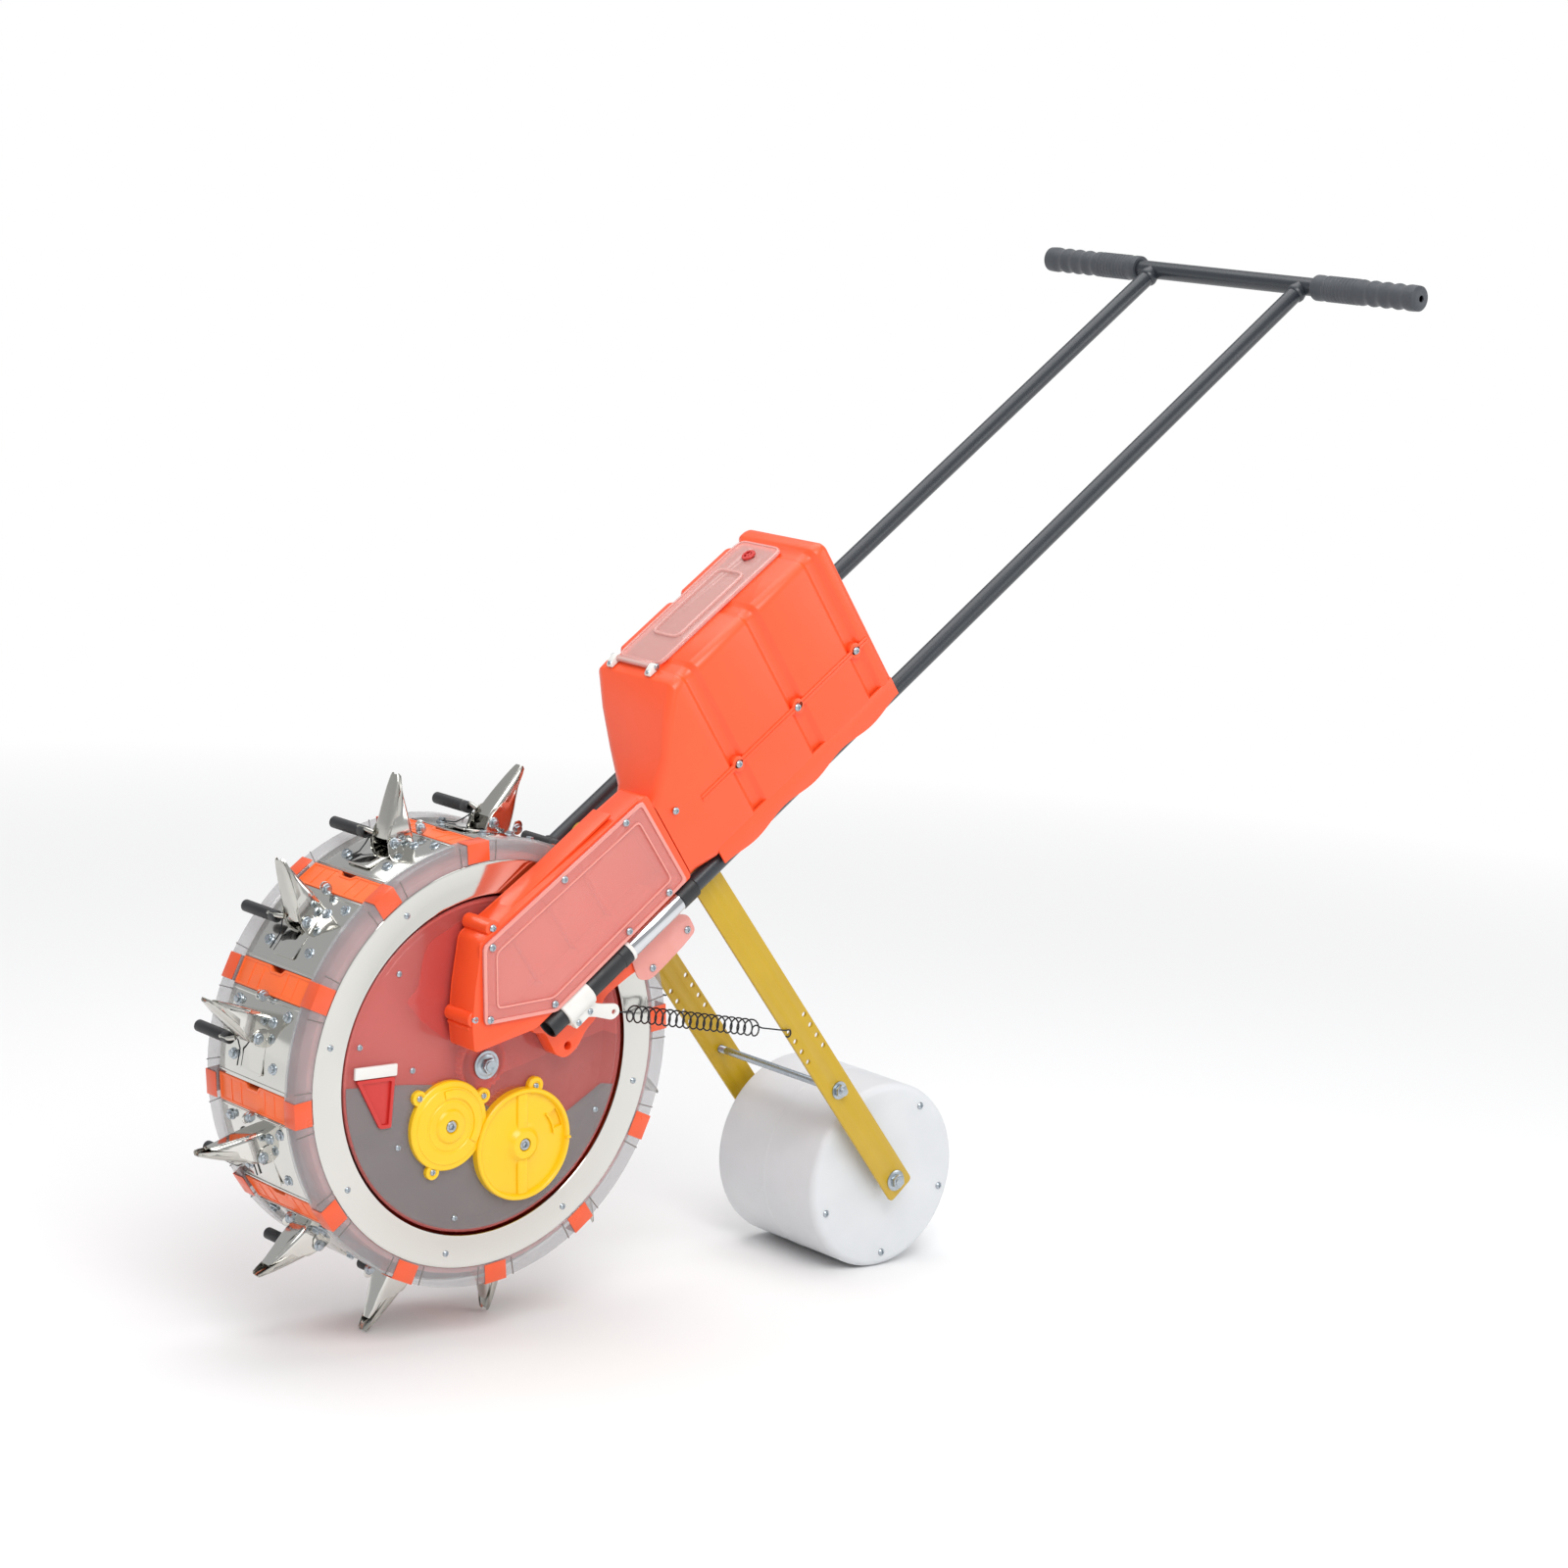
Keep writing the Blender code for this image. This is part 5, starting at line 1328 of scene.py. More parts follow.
    # hexagon socket screws in both bosses
    sockets = []
    for x, z in ((ix, iz), (sx, sz)):
        head = turnedPiece(
            "head",
            [
                (0.0, -front - 0.0084), (0.0062, -front - 0.0084), (0.0062, -front - 0.0104),
                (0.0056, -front - 0.0108), (0.0, -front - 0.0108),
            ],
            24,
        )
        cutAway(head, rod("hexagon", 0, 0, 0.0034, -front - 0.0120, -front - 0.0090, 6))
        head.data.transform(Matrix.Translation((x, 0, z)))
        sockets.append(head)
    dress(place(joined("boss_screws", sockets), hub["handle"]), zincSteel, "frame")


def makeSight():
    # white cap bar and the red tapered seed opening beside the covers
    face = -discSizes["face"]
    bar = block("sight_cap", (-0.1715, face - 0.0042, 0.0020), (-0.1180, face - 0.0002, 0.0150), 0.0012)
    bar.data.transform(Matrix.Translation(axle))
    dress(bar, whitePlastic, "frame")
    outer = softened([(-0.1690, 0.0010), (-0.1200, 0.0010), (-0.1215, -0.0540), (-0.1360, -0.0540)], 0.003)
    inner = grown([(-0.1690, 0.0010), (-0.1200, 0.0010), (-0.1215, -0.0540), (-0.1360, -0.0540)], -0.0040)
    hopperMouth = sheet("mouth", [outer, softened(inner, 0.002)], face - 0.0036, face - 0.0002, 0.0006)
    floor = sheet("floor", [softened(inner, 0.001)], face - 0.0010, face - 0.0002, 0.0002)
    mouth = joined("seed_sight", [hopperMouth, floor])
    mouth.data.transform(Matrix.Translation(axle))
    dress(mouth, brightRed, "frame")


# Gears inside.

def makeGears():
    (ix, iz), (sx, sz) = gearPlaces()
    size = discSizes
    idlerReach, running = size["idlerRadius"], 0.0006
    start = -size["face"] + size["wall"] + 0.0011
    seedReach = math.hypot(sx - ix, sz - iz) - idlerReach - running
    gears = (
        ("idler", "idler_gear", (ix, iz), idlerReach, size["idlerTeeth"], size["idlerWidth"]),
        ("seed_disc", "seed_wheel", (sx, sz), seedReach, size["seedTeeth"], size["seedWidth"]),
    )
    for body, node, where, reach, teeth, width in gears:
        name = "idler_toothed" if body == "idler" else "seed_wheel_toothed"
        outline = []
        for tooth in range(teeth):
            for share, radius in (
                (-0.25, reach - 0.0024), (-0.12, reach - 0.0002), (0.12, reach - 0.0002),
                (0.25, reach - 0.0024),
            ):
                turn = 2 * math.pi * (tooth + share) / teeth
                outline.append((radius * math.cos(turn), radius * math.sin(turn)))
        holes = [circle(0, 0, 0.0051, 24)]
        for pocket in range(6):
            turn = math.pi / 3 * pocket
            holes.append(
                circle(reach * 0.56 * math.cos(turn), reach * 0.56 * math.sin(turn), reach * 0.16, 20)
            )
        gear = sheet(name, [outline, *holes], start, start + width, 0.0004)
        gear.data.transform(Matrix.Translation((where[0], 0, where[1])))
        dress(place(gear, hub["handle"]), yellowPlastic, body, [node])
    print("gears made")

# Drum: wheel, strips, lips, rings and tabs.

drumSizes = {
    "radius": 0.241, "half": 0.0792, "rim": 0.2285, "rimWall": 0.003, "flange": 0.190,
    "stripHalfWidth": 0.0627,
    "stripHalfAngle": math.radians(3.67), "bandFace": 0.0823, "bandRadius": 0.244, "bandInner": 0.2224,
    "ringInner": 0.1864, "ringWall": 0.0015, "webAt": 0.030, "web": 0.004, "hubRadius": 0.020,
    "hubHalf": 0.0755,
    "gearRadius": 0.031, "gearWidth": 0.010,
}


def drumAt(turn):
    return (axle, turn)


def makeDrumWheel():
    size = drumSizes
    half, rim, inner = size["half"], size["rim"], size["rim"] - size["rimWall"]
    flangeIn = half - size["rimWall"]
    wheel = turnedPiece("drum_body", [
        (0.0069, -size["hubHalf"]), (size["gearRadius"] - 0.004, -size["hubHalf"]),
        (size["gearRadius"] - 0.004, -size["hubHalf"] + size["gearWidth"]),
        (size["hubRadius"], -size["hubHalf"] + size["gearWidth"]),
        (size["hubRadius"], size["webAt"] - 0.004), (size["hubRadius"] + 0.004, size["webAt"]),
        (0.120, size["webAt"]), (0.124, size["webAt"] - 0.003), (0.150, size["webAt"] - 0.003),
        (0.154, size["webAt"]), (inner - 0.003, size["webAt"]), (inner, size["webAt"] - 0.003),
        (inner, -flangeIn), (size["flange"], -flangeIn), (size["flange"], -half), (rim - 0.0006, -half),
        (rim, -half + 0.0006), (rim, 0.0), (rim, half - 0.0006), (rim - 0.0006, half),
        (size["flange"], half), (size["flange"], flangeIn), (inner, flangeIn),
        (inner, size["webAt"] + size["web"] + 0.003), (inner - 0.003, size["webAt"] + size["web"]),
        (size["hubRadius"] + 0.004, size["webAt"] + size["web"]),
        (size["hubRadius"], size["webAt"] + size["web"] + 0.004), (size["hubRadius"], size["hubHalf"]),
        (0.0069, size["hubHalf"]),
    ], 144)
    count = 26
    outline = []
    for tooth in range(count):
        for share, radius in (
            (-0.25, size["gearRadius"] - 0.0024), (-0.12, size["gearRadius"] - 0.0002),
            (0.12, size["gearRadius"] - 0.0002), (0.25, size["gearRadius"] - 0.0024),
        ):
            turn = 2 * math.pi * (tooth + share) / count
            outline.append((radius * math.cos(turn), radius * math.sin(turn)))
    end = -size["hubHalf"]
    teeth = sheet("teeth", [outline, circle(0, 0, 0.018, 40)], end, end + size["gearWidth"], 0.0004)
    wheel = joined("drum_body", [wheel, teeth])
    dress(place(wheel, drumAt(stations[0])), orangePlastic, "drum", ["drum_wheel"])


def stripPattern():
    # one raised strip between two beak plates, along X out, with its border and the notch half way
    size = drumSizes
    width = size["radius"] * math.sin(size["stripHalfAngle"]) - 0.0002
    half = size["stripHalfWidth"] - 0.0003
    outline = [
        (-half, -width), (half, -width), (half, width), (0.0130, width), (0.0085, width - 0.0052),
        (-0.0085, width - 0.0052), (-0.0130, width), (-half, width),
    ]
    body = sheet("strip", [softened(outline, 0.0012, 3)], 0.0, 0.0132, 0.0009)
    inner = grown(outline, -0.0030)
    border = sheet(
        "border", [softened(grown(outline, -0.0004), 0.0012, 3), softened(inner, 0.0014, 3)], 0.0130,
        0.0138, 0.0003,
    )
    ribs = []
    for reach in (-0.040, -0.022, 0.022, 0.040):
        ribs.append(
            block(
                "rib", (reach - 0.0006, 0.0128, -width + 0.002), (reach + 0.0006, 0.0138, width - 0.002),
                0.0002,
            )
        )
    strip = joined("strip", [body, border, *ribs])
    # from (length, height, width) to (out, along the axle, round the drum)
    turn = Matrix(((0, 1, 0, 0), (1, 0, 0, 0), (0, 0, -1, 0), (0, 0, 0, 1)))
    strip.data.transform(Matrix.Translation((size["rim"] - 0.0010, 0, 0)) @ turn)
    return strip


def roundTheDrum(pattern, name, turns, material):
    made = []
    for i, turn in enumerate(turns):
        made.append(
            copied(pattern, f"{name}_{i}", Matrix.Translation(axle) @ Matrix.Rotation(-turn, 4, "Y"))
        )
    bpy.data.objects.remove(pattern)
    return dress(joined(name, made), material, "drum")


def makeDrum():
    size = drumSizes
    makeDrumWheel()
    between = [station + pitch / 2 for station in stations]
    roundTheDrum(stripPattern(), "drum_strips", between, orangeStrip)

    # clear lips over both edges
    inner = size["rim"] + 0.0003
    right = turnedPiece("clear_lip_right", [
        (size["bandInner"], size["half"] + 0.0003), (size["bandInner"], size["bandFace"] - 0.0005),
        (size["bandInner"] + 0.0005, size["bandFace"]), (size["bandRadius"] - 0.0016, size["bandFace"]),
        (size["bandRadius"] - 0.0004, size["bandFace"] - 0.0005),
        (size["bandRadius"], size["bandFace"] - 0.0016),
        (size["bandRadius"], size["stripHalfWidth"] + 0.0010),
        (size["bandRadius"] - 0.0007, size["stripHalfWidth"] + 0.0003),
        (inner, size["stripHalfWidth"] + 0.0003), (inner, size["half"] + 0.0003),
    ], 144)
    left = mirrored(right, "clear_lip_left")
    dress(place(right, drumAt(stations[0])), clearPlastic, "drum", ["rim_band_right"])
    dress(place(left, drumAt(stations[0])), clearPlastic, "drum", ["rim_band_left"])

    # orange tabs that wrap each lip at every strip, and the joints between the lips' segments
    tabs = []
    for side in (-1, 1):
        face = size["bandFace"]
        angled = softened([
            (size["bandInner"] + 0.0008, face + 0.0001), (size["bandInner"] + 0.0008, face + 0.0009),
            (size["bandRadius"] + 0.0008, face + 0.0009),
            (size["bandRadius"] + 0.0008, size["stripHalfWidth"] + 0.0012),
            (size["bandRadius"] + 0.0001, size["stripHalfWidth"] + 0.0012),
            (size["bandRadius"] + 0.0001, face + 0.0001),
        ], 0.0005, 2)
        tab = sheet("tab", [angled], -0.0140, 0.0140, 0.0003)
        # the outline's second axis becomes the axle's, the thickness runs round the drum
        tab.data.transform(Matrix(((1, 0, 0, 0), (0, 0, side, 0), (0, 1, 0, 0), (0, 0, 0, 1))))
        bpy.ops.object.mode_set(mode="EDIT")
        tidyMesh(1e-7)
        leaveEdit()
        tabs.append(tab)
    roundTheDrum(joined("tab", tabs), "lip_tabs", between, orangeTab)
    seams = []
    for side in (-1, 1):
        for lead in (-1, 1):
            turn = lead * math.radians(5.6)
            seam = block(
                "seam", (size["bandInner"] + 0.001, size["bandFace"] - 0.0004, -0.0006),
                (size["bandRadius"] + 0.0003, size["bandFace"] + 0.0004, 0.0006), 0.0002,
            )
            seam.data.transform(Matrix.Rotation(-turn, 4, "Y"))
            if side < 0:
                far = mirrored(seam, "seam")
                bpy.data.objects.remove(seam)
                seam = far
            seams.append(seam)
    roundTheDrum(joined("seam", seams), "lip_seams", between, smokeGrey)

    # polished side rings with rolled edges
    face, low = size["bandFace"], size["bandFace"] - size["ringWall"]
    outer = size["bandInner"] - 0.0003
    ring = turnedPiece("steel_ring_right", [
        (size["ringInner"], low), (size["ringInner"], face - 0.0003),
        (size["ringInner"] + 0.0004, face + 0.0002), (size["ringInner"] + 0.0016, face + 0.0003),
        (size["ringInner"] + 0.0030, face), (outer - 0.0030, face), (outer - 0.0014, face + 0.0002),
        (outer - 0.0004, face), (outer, face - 0.0005), (outer, low),
    ], 144)
    nearRing = mirrored(ring, "steel_ring_left")
    dress(place(ring, drumAt(stations[0])), mirrorSteel, "drum", ["side_ring_right"])
    dress(place(nearRing, drumAt(stations[0])), mirrorSteel, "drum", ["side_ring_left"])
    for side, name in ((-1, "left"), (1, "right")):
        spots = []
        for i in range(8):
            turn = stations[0] + math.radians(12 + 45 * i)
            spots.append((worldPoint(drumAt(turn), 0.2065, side * (face - 0.0001), 0), (0, side, 0)))
        screwsAt(f"ring_screws_{name}", smallScrew, spots, zincSteel, "drum")
    print("drum made")


# Beaks: cover plate with the fixed half, and the moving half on its lever.

beakSizes = {
    "plate": 0.002, "sheet": 0.0013, "reach": math.radians(11.25), "halfWidth": 0.0624,
    "sleeveRadius": 0.0065, "sleeveStart": 0.018, "sleeveEnd": 0.080,
}
# the fixed half, from its root out: radius, half width, back, front edge of the cheeks
fixedStations = [
    (0.2385, 0.0155, -0.0305, 0.0030), (0.2450, 0.0155, -0.0315, 0.0026),
    (0.2520, 0.0152, -0.0325, 0.0008), (0.2600, 0.0146, -0.0336, -0.0040),
    (0.2690, 0.0134, -0.0349, -0.0118), (0.2780, 0.0118, -0.0361, -0.0200),
    (0.2870, 0.0104, -0.0374, -0.0285), (0.2940, 0.0088, -0.0384, -0.0338),
    (0.2985, 0.0070, -0.0390, -0.0366),
]
# the moving half: radius and height of its outer face, half width, depth of its cheeks
movingStations = [
    (0.2560, 0.0012, 0.0128, 0.0070), (0.2630, -0.0022, 0.0130, 0.0100),
    (0.2720, -0.0080, 0.0128, 0.0120), (0.2820, -0.0146, 0.0123, 0.0115),
    (0.2920, -0.0213, 0.0114, 0.0102), (0.3010, -0.0275, 0.0102, 0.0086),
    (0.3074, -0.0322, 0.0088, 0.0066), (0.3118, -0.0353, 0.0072, 0.0050),
    (0.3140, -0.0368, 0.0052, 0.0036),
]


def loftedChannel(name, rings):
    # a folded sheet: a grid with a row for each section, every section with as many points
    bpy.ops.object.select_all(action="DESELECT")
    bpy.ops.mesh.primitive_grid_add(x_subdivisions=len(rings[0]) - 1, y_subdivisions=len(rings) - 1, size=1)
    piece = bpy.context.active_object
    piece.name = name
    spots = [spot for ring in rings for spot in ring]
    for vertex, spot in zip(piece.data.vertices, spots):
        vertex.co = spot
    return piece


def channelSection(radius, half, back, front, steps=5):
    # cheek, rounded corner, back, rounded corner, cheek
    corner = min(half * 0.55, 0.006)
    points = [(radius, -half, front), (radius, -half, (front + back) / 2)]
    for i in range(steps + 1):
        turn = math.pi / 2 * i / steps
        points.append((radius, -half + corner * (1 - math.cos(turn)), back + corner * (1 - math.sin(turn))))
    points.append((radius, 0.0, back))
    for i in range(steps + 1):
        turn = math.pi / 2 * (1 - i / steps)
        points.append((radius, half - corner * (1 - math.cos(turn)), back + corner * (1 - math.sin(turn))))
    points += [(radius, half, (front + back) / 2), (radius, half, front)]
    return points


def fixedHalf():
    rings = [channelSection(*station) for station in fixedStations]
    shell = loftedChannel("fixed_beak", rings)
    outwards(shell)
    useModifier(shell, "SOLIDIFY", thickness=beakSizes["sheet"], offset=-1.0)
    return smooth(shell, 40)


def outwards(shell):
    # an open sheet has no inside, so its faces are turned to point away from its own middle
    middle = sum((v.co for v in shell.data.vertices), Vector()) / len(shell.data.vertices)
    away = sum((face.center - middle).dot(face.normal) * face.area for face in shell.data.polygons)
    if away < 0:
        pick(shell)
        bpy.ops.object.mode_set(mode="EDIT")
        bpy.ops.mesh.select_all(action="SELECT")
        bpy.ops.mesh.flip_normals()
        leaveEdit()


def movingHalf():
    rings = []
    for radius, face, half, depth in movingStations:
        # the scoop opens backwards, so its section is turned over
        section = channelSection(radius, half, 0.0, depth, 5)
        rings.append([(x - (depth if z > depth * 0.9 else z) * 0.25, y, face - z) for x, y, z in section])
    shell = loftedChannel("moving_beak", rings)
    outwards(shell)
    useModifier(shell, "SOLIDIFY", thickness=beakSizes["sheet"], offset=-1.0)
    return smooth(shell, 40)


def platePattern():
    size = beakSizes
    base, reach, half = drumSizes["radius"] - size["plate"], size["reach"], size["halfWidth"]
    radius = drumSizes["radius"]
    outline = arc(0, 0, base, -reach, reach, 16) + arc(0, 0, radius, reach, -reach, 16)
    slab = sheet("plate", [outline], -half, half, 0.0005)
    # folded edges along both ends of the plate
    folds = []
    for lead in (-1, 1):
        turn = lead * (reach - math.radians(0.7))
        fold = block(
            "fold", (radius - 0.0010, -half + 0.001, -0.0016), (radius + 0.0009, half - 0.001, 0.0016),
            0.0006,
        )
        fold.data.transform(Matrix.Rotation(-turn, 4, "Y"))
        folds.append(fold)
    foot = sheet(
        "foot",
        [softened([(-0.0190, -0.0360), (0.0190, -0.0360), (0.0190, 0.0060), (-0.0190, 0.0060)], 0.004)],
        0.0, 0.0016, 0.0005,
    )
    foot.data.transform(
        Matrix.Translation((radius - 0.0010, 0, 0)) @ Matrix(
            ((0, 1, 0, 0), (1, 0, 0, 0), (0, 0, -1, 0), (0, 0, 0, 1))
        )
    )
    # lugs that carry the pivot bolt
    lugs = []
    for side in (-1, 1):
        y0, y1 = sorted((side * 0.0157, side * 0.0171))
        lug = sheet(
            "lug",
            [
                softened(
                    [
                        (0.2400, -0.0150), (0.2400, 0.0060), (0.2545, 0.0030), (0.2570, -0.0060),
                        (0.2500, -0.0140),
                    ],
                    0.003,
                )
            ],
            y0, y1, 0.0004,
        )
        lugs.append(lug)
    # ear that stands up behind the beak
    ear = sheet(
        "ear",
        [
            softened(
                [
                    (0.2400, -0.0530), (0.2400, -0.0420), (0.2530, -0.0430), (0.2545, -0.0500),
                    (0.2500, -0.0540),
                ],
                0.003,
            )
        ],
        -0.0045, -0.0030, 0.0004,
    )
    return joined("plate", [slab, *folds, foot, fixedHalf(), *lugs, ear])


def leverPattern():
    size = beakSizes
    scoop = movingHalf()
    cheeks = []
    for side in (-1, 1):
        y0, y1 = sorted((side * 0.0123, side * 0.0135))
        outline = softened(
            [
                (0.2450, -0.0095), (0.2450, 0.0000), (0.2560, 0.0012), (0.2660, -0.0046),
                (0.2700, -0.0160), (0.2560, -0.0140),
            ],
            0.003,
        )
        cheeks.append(sheet("cheek", [outline], y0, y1, 0.0004))
    # steel bar bent out to the sleeve
    path = []
    for share in range(9):
        bend = share / 8
        path.append(
            (
                0.2605 + 0.0035 * math.sin(bend * math.pi / 2), 0.0095 + 0.0100 * bend,
                0.0008 + 0.0030 * math.sin(bend * math.pi / 2),
            )
        )
    path += [(0.2640, 0.030, 0.0040), (0.2600, 0.060, 0.0036), (0.2600, 0.078, 0.0036)]
    bar = wire("bar", path, 0.0026, 12)
    radius, start, end = size["sleeveRadius"], size["sleeveStart"], size["sleeveEnd"]
    sleeve = turnedPiece("sleeve", [
        (0.0026, start + 0.002), (radius - 0.0012, start), (radius, start + 0.0014),
        (radius, start + 0.010), (radius - 0.0006, start + 0.011), (radius - 0.0006, start + 0.013),
        (radius, start + 0.014), (radius, end - 0.0015), (radius - 0.0014, end), (0.0026, end - 0.001),
    ], 28)
    sleeve.data.transform(Matrix.Translation((0.2600, 0, 0.0036)))
    steel = joined("lever", [scoop, *cheeks, bar])
    return steel, sleeve


def beakScrews(turn):
    # plate screws, foot screw, ear nut and pivot bolt heads of one station
    out = (math.cos(turn), 0, math.sin(turn))
    spots = []
    for side in (-1, 1):
        lead = math.radians(5.5)
        spots.append(
            (
                worldPoint(drumAt(turn + lead), 0.2411, side * 0.037, 0),
                (math.cos(turn + lead), 0, math.sin(turn + lead)),
            )
        )
        spots.append((worldPoint(drumAt(turn - math.radians(8.0)), 0.2411, side * 0.046, 0), out))
    spots.append((worldPoint(drumAt(turn - math.radians(5.5)), 0.2411, -0.0235, 0), out))
    for side in (-1, 1):
        spots.append((worldPoint(drumAt(turn - pivotLag), 0.2505, side * 0.0172, 0), (0, side, 0)))
    spots.append((worldPoint(drumAt(turn - math.radians(11.0)), 0.2490, -0.0046, 0), (0, -1, 0)))
    return spots


def springWire():
    # light torsion spring on each pivot, with its leg along the plate
    points = []
    turns, steps = 4, 14
    for i in range(turns * steps + 1):
        turn = 2 * math.pi * i / steps
        points.append(
            (
                0.2505 + 0.0038 * math.cos(turn), 0.0180 + 0.0052 * i / (turns * steps),
                -0.0044 + 0.0038 * math.sin(turn),
            )
        )
    points += [(0.2470, 0.0235, 0.0060), (0.2424, 0.0238, 0.0150), (0.2424, 0.0238, 0.0330)]
    return wire("spring", points, 0.00075, 8)


def makeBeaks():
    plate = platePattern()
    steel, sleeve = leverPattern()
    hexSpots = []
    for number, station in enumerate(stations, 1):
        spin = Matrix.Translation(axle) @ Matrix.Rotation(-station, 4, "Y")
        body = f"beak_{number:02d}"
        dress(
            copied(plate, f"cover_plate_{number:02d}", spin), mirrorSteel, "drum",
            [f"beak_plate_{number:02d}"],
        )
        dress(
            copied(steel, f"beak_scoop_{number:02d}", spin), brushedSteel, body,
            [f"beak_lever_{number:02d}"],
        )
        dress(copied(sleeve, f"lever_sleeve_{number:02d}", spin), blackRubber, body)
        hexSpots += beakScrews(station)
    screwsAt("beak_bolts", smallHex, hexSpots, zincSteel, "drum")
    roundTheDrum(springWire(), "beak_springs", stations, springSteel)
    for pattern in (plate, steel, sleeve):
        bpy.data.objects.remove(pattern)
    print("beaks made")


# Press group: arms, rods, roller and springs.

pressSizes = {
    "armY": 0.105, "armWall": 0.004, "armHalf": 0.0195, "nose": 0.022, "rodReach": 0.3625,
    "holeFirst": 0.250,
    "holePitch": 0.017, "holeRow": 0.0137, "holes": 4, "rollerRadius": 0.110, "rollerHalf": 0.087,
    "fillet": 0.009,
    "coil": 0.0091, "wire": 0.0018, "lead": 0.022, "tail": 0.052,
}


def makeArms():
    size = pressSizes
    half, end = size["armHalf"], armLength + size["nose"]
    outline = [(-0.0095, 0.0070), (-0.0095, -0.0070), (0.0120, -half)]
    outline = softened(outline + [(end - 0.004, -half), (end - 0.004, half), (0.0120, half)], 0.006)
    holes = [circle(0, 0, 0.0046), circle(size["rodReach"], 0, 0.0048), circle(armLength, 0, 0.0063)]
    for row in (-1, 1):
        for i in range(size["holes"]):
            holes.append(
                circle(size["holeFirst"] + i * size["holePitch"], row * size["holeRow"], 0.003, 16)
            )
    for side, name in ((-1, "left"), (1, "right")):
        middle, wall = side * size["armY"], size["armWall"] / 2
        bar = sheet(f"flat_arm_{name}", [outline, *holes], middle - wall, middle + wall, 0.0007)
        dress(place(bar, hub["arm"]), mustardPaint, "press_arms", [f"press_arm_{name}"])


def makeRods():
    size = pressSizes
    outside = size["armY"] + size["armWall"] / 2
    end = outside + 0.012
    # threaded near both ends, plain in the middle
    profile = [(0.0, -end)]
    for i in range(16):
        at = -end + 0.001 + i * 0.0016
        profile += [(0.0045, at), (0.0040, at + 0.0008)]
    profile += [(0.0045, -end + 0.028), (0.0045, end - 0.028)]
    for i in range(16):
        at = end - 0.001 - (15 - i) * 0.0016
        profile += [(0.0040, at - 0.0008), (0.0045, at)]
    profile.append((0.0, end))
    parts = [turnedPiece("threaded", profile, 24)]
    for side in (-1, 1):
        washer = turnedPiece(
            "washer",
            [
                (0.0046, outside + 0.0002), (0.0105, outside + 0.0002), (0.0105, outside + 0.0014),
                (0.0046, outside + 0.0014),
            ],
            32,
        )
        nut = rod("nut", 0, 0, 0.0080, outside + 0.0014, outside + 0.0068, 6, 0.0008)
        pair = joined("nut", [washer, nut])
        if side < 0:
            far = mirrored(pair, "nut")
            bpy.data.objects.remove(pair)
            pair = far
        parts.append(pair)
    cross = joined("spacer_rod", parts)
    cross.data.transform(Matrix.Translation((size["rodReach"], 0, 0)))
    dress(place(cross, hub["arm"]), zincSteel, "press_arms", ["cross_rod"])

    parts = [rod("shaft", 0, 0, 0.006, -outside - 0.009, outside + 0.009, 32, 0.0008)]
    for side in (-1, 1):
        bolt = copied(largeHex, "bolt", heading((0, outside + 0.0006, 0), (0, 1, 0)))
        if side < 0:
            far = mirrored(bolt, "bolt")
            bpy.data.objects.remove(bolt)
            bolt = far
        parts.append(bolt)
    spindle = joined("roller_spindle", parts)
    dress(place(spindle, hub["roller"]), zincSteel, "press_arms", ["roller_axle"])
    spots = []
    for side in (-1, 1):
        spots.append((worldPoint(hub["arm"], 0, side * (outside + 0.0004), 0), (0, side, 0)))
    screwsAt("arm_pivot_bolts", smallHex, spots, zincSteel, "press_arms")


def makeRoller():
    size = pressSizes
    radius, half, fillet = size["rollerRadius"], size["rollerHalf"], size["fillet"]
    profile = [
        (0.0069, half - 0.0040), (0.0069, half - 0.0002), (0.018, half), (0.0195, half - 0.0006),
        (0.021, half - 0.0012),
    ]
    profile += [(0.080, half - 0.0016), (0.088, half - 0.0006), (radius - fillet, half)]
    for i in range(1, 8):
        turn = math.pi / 2 * i / 8
        profile.append((radius - fillet + fillet * math.sin(turn), half - fillet + fillet * math.cos(turn)))
    profile.append((radius, half - fillet))
    # slight belly and the moulding's parting line half way
    profile += [(radius, half * 0.5), (radius, 0.0012), (radius + 0.0004, 0.0006)]
    near = [(r, -y) for r, y in reversed(profile)]
    whole = profile + near
    wall = 0.004
    inner = [
        (0.0069, -(half - wall)), (radius - wall - 0.005, -(half - wall)),
        (radius - wall, -(half - wall - 0.005)), (radius - wall, half - wall - 0.005),
        (radius - wall - 0.005, half - wall),
    ]
    roller = turnedPiece("milky_roller", whole + inner, 128)
    dress(place(roller, hub["roller"]), milkyPlastic, "roller", ["press_roller"])
    spots = []
    for side in (-1, 1):
        for i in range(5):
            turn = math.radians(52 + 5.45 + 72 * i)
            spots.append(
                (
                    rollerAxis + Vector(
                        (0.0935 * math.cos(turn), side * (half - 0.0006), 0.0935 * math.sin(turn))
                    ),
                    (0, side, 0),
                )
            )
    screwsAt("roller_screws", plateScrew, spots, zincSteel, "roller")


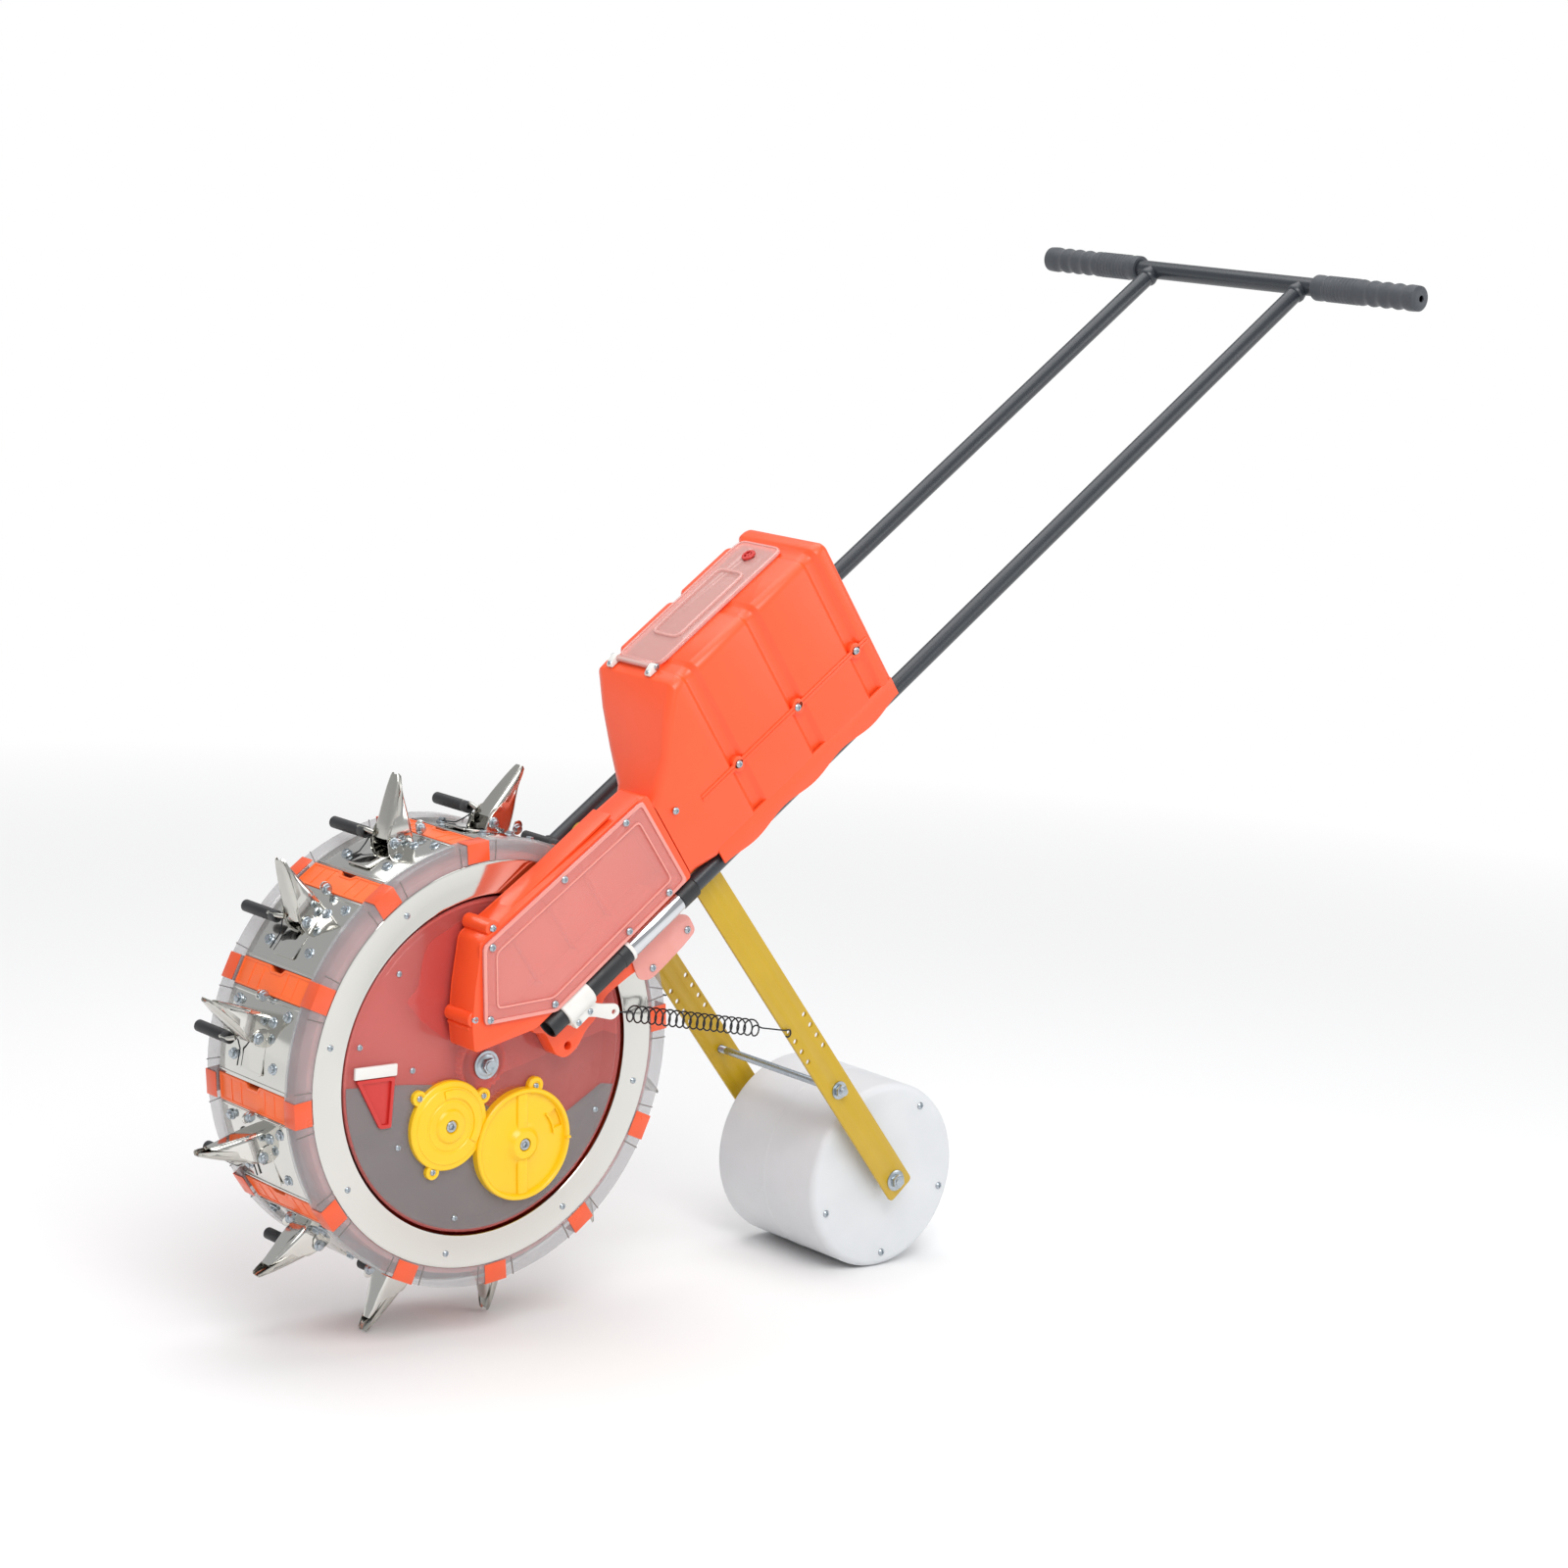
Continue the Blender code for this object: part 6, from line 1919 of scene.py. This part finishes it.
def makeSprings():
    size = pressSizes
    for side, name in ((-1, "left"), (1, "right")):
        ear = worldPoint(hub["tube"], 0.140, side * tubeSpread, -0.045)
        hole = worldPoint(
            hub["arm"], size["holeFirst"], side * (size["armY"] + size["armWall"] / 2 + size["wire"]),
            -size["holeRow"],
        )
        run = (hole - ear).normalized()
        across = run.cross(Vector((0, 1, 0))).normalized()
        up = run.cross(across)
        length = (hole - ear).length
        start, stop = size["lead"], length - size["tail"]
        coils, steps = 19, 16
        points = []
        # hook through the ear, turning about the line across it
        for i in range(9):
            turn = math.pi * (1.25 - 1.25 * i / 8)
            points.append(ear + run * (0.0048 * math.cos(turn) + 0.0020) + across * 0.0045 * math.sin(turn))
        points.append(ear + run * (start - 0.004) + across * 0.0008)
        for i in range(coils * steps + 1):
            share = i / (coils * steps)
            ease = min(1.0, share * coils / 0.5, (1 - share) * coils / 0.5)
            turn = 2 * math.pi * i / steps
            radius = 0.0020 + (size["coil"] - 0.0020) * ease
            points.append(
                ear + run * (
                    start + (stop - start) * share
                ) + across * radius * math.cos(turn) + up * radius * math.sin(turn)
            )
        points.append(hole - run * (size["tail"] - 0.006) + across * 0.0008)
        points.append(hole - run * 0.010 + across * 0.0010)
        for i in range(9):
            turn = math.pi * 1.2 * i / 8
            points.append(
                hole + run * (0.0042 * math.sin(turn) - 0.003) + across * (0.0042 * math.cos(turn) - 0.002)
            )
        coil = wire(f"tension_spring_{name}", points, size["wire"] / 2, 8)
        coil.data.materials.append(springSteel)
        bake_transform(coil)
        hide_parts(f"press_spring_{name}")
    print("press group made")


# Stage, camera and lights.

shot = {
    "azimuth": -40.818, "elevation": 13.424, "roll": 5.45, "across": -0.3694, "up": -0.2840, "away": 4.1834,
    "lens": 89.12,
    "sensor": 36.0,
}


def makeCamera():
    turn, rise, roll = (math.radians(shot[angle]) for angle in ("azimuth", "elevation", "roll"))
    back = Vector((math.sin(turn) * math.cos(rise), -math.cos(turn) * math.cos(rise), math.sin(rise)))
    right = Vector((math.cos(turn), math.sin(turn), 0))
    up = back.cross(right)
    spot = -right * shot["across"] - up * shot["up"] + back * shot["away"]
    pitched = Matrix.Rotation(-roll, 4, "Y")
    axes = Matrix((right, up, back)).transposed().to_4x4()
    data = bpy.data.cameras.new("shot")
    data.lens = shot["lens"]
    data.sensor_width = shot["sensor"]
    data.clip_end = 60
    camera = bpy.data.objects.new("shot", data)
    bpy.context.scene.collection.objects.link(camera)
    camera.matrix_world = Matrix.Translation(axle) @ pitched @ Matrix.Translation(spot) @ axes
    bpy.context.scene.camera = camera


def makeStage():
    bpy.ops.object.select_all(action="DESELECT")
    bpy.ops.mesh.primitive_plane_add(size=400, location=(0, 0, -0.0006))
    floor = bpy.context.active_object
    floor.name = "studio_floor"
    floor.data.materials.append(paleFloor)


lighting = {
    "middle": (-0.1, 0, 0.4), "worldStrength": 0.56, "worldTint": "#F4F5F7",
    "boxes": {
        "keySoftbox": ((-1.6, -2.6, 3.2), (2.2, 2.2), 95),
        "fillSoftbox": ((2.6, -2.8, 1.8), (2.4, 2.0), 28),
        "topSoftbox": ((0.2, 0.6, 3.6), (3.0, 3.0), 60),
    },
}


def areaLight(name, spot, target, size, power):
    data = bpy.data.lights.new(name, "AREA")
    data.shape = "RECTANGLE"
    data.size, data.size_y = size
    data.energy = power
    light = bpy.data.objects.new(name, data)
    bpy.context.scene.collection.objects.link(light)
    light.location = spot
    light.rotation_euler = (Vector(target) - Vector(spot)).to_track_quat("-Z", "Y").to_euler()


def makeWorld():
    # white where the camera sees it, softer where it lights the object
    world = bpy.data.worlds.new("studio")
    world.use_nodes = True
    tree = world.node_tree
    tree.nodes.clear()
    ray = tree.nodes.new("ShaderNodeLightPath")
    seen = tree.nodes.new("ShaderNodeBackground")
    seen.inputs["Color"].default_value = linear("#FFFFFF")
    soft = tree.nodes.new("ShaderNodeBackground")
    soft.inputs["Color"].default_value = linear(lighting["worldTint"])
    soft.inputs["Strength"].default_value = lighting["worldStrength"]
    both = tree.nodes.new("ShaderNodeMixShader")
    end = tree.nodes.new("ShaderNodeOutputWorld")
    tree.links.new(ray.outputs["Is Camera Ray"], both.inputs[0])
    tree.links.new(soft.outputs["Background"], both.inputs[1])
    tree.links.new(seen.outputs["Background"], both.inputs[2])
    tree.links.new(both.outputs["Shader"], end.inputs["Surface"])
    bpy.context.scene.world = world


def makeLights():
    makeWorld()
    for name, (spot, size, power) in lighting["boxes"].items():
        areaLight(name, spot, lighting["middle"], size, power)
    bpy.context.scene.view_settings.view_transform = "Standard"


makeHandle()
makeHopper()
makeLid()
makeChute()
makeDiscs()
makeGears()
makeDrum()
makeBeaks()
makeArms()
makeRods()
makeRoller()
makeSprings()
for pattern in (smallScrew, plateScrew, smallHex, largeHex):
    bpy.data.objects.remove(pattern)
makeStage()
makeCamera()
makeLights()
print("scene made")
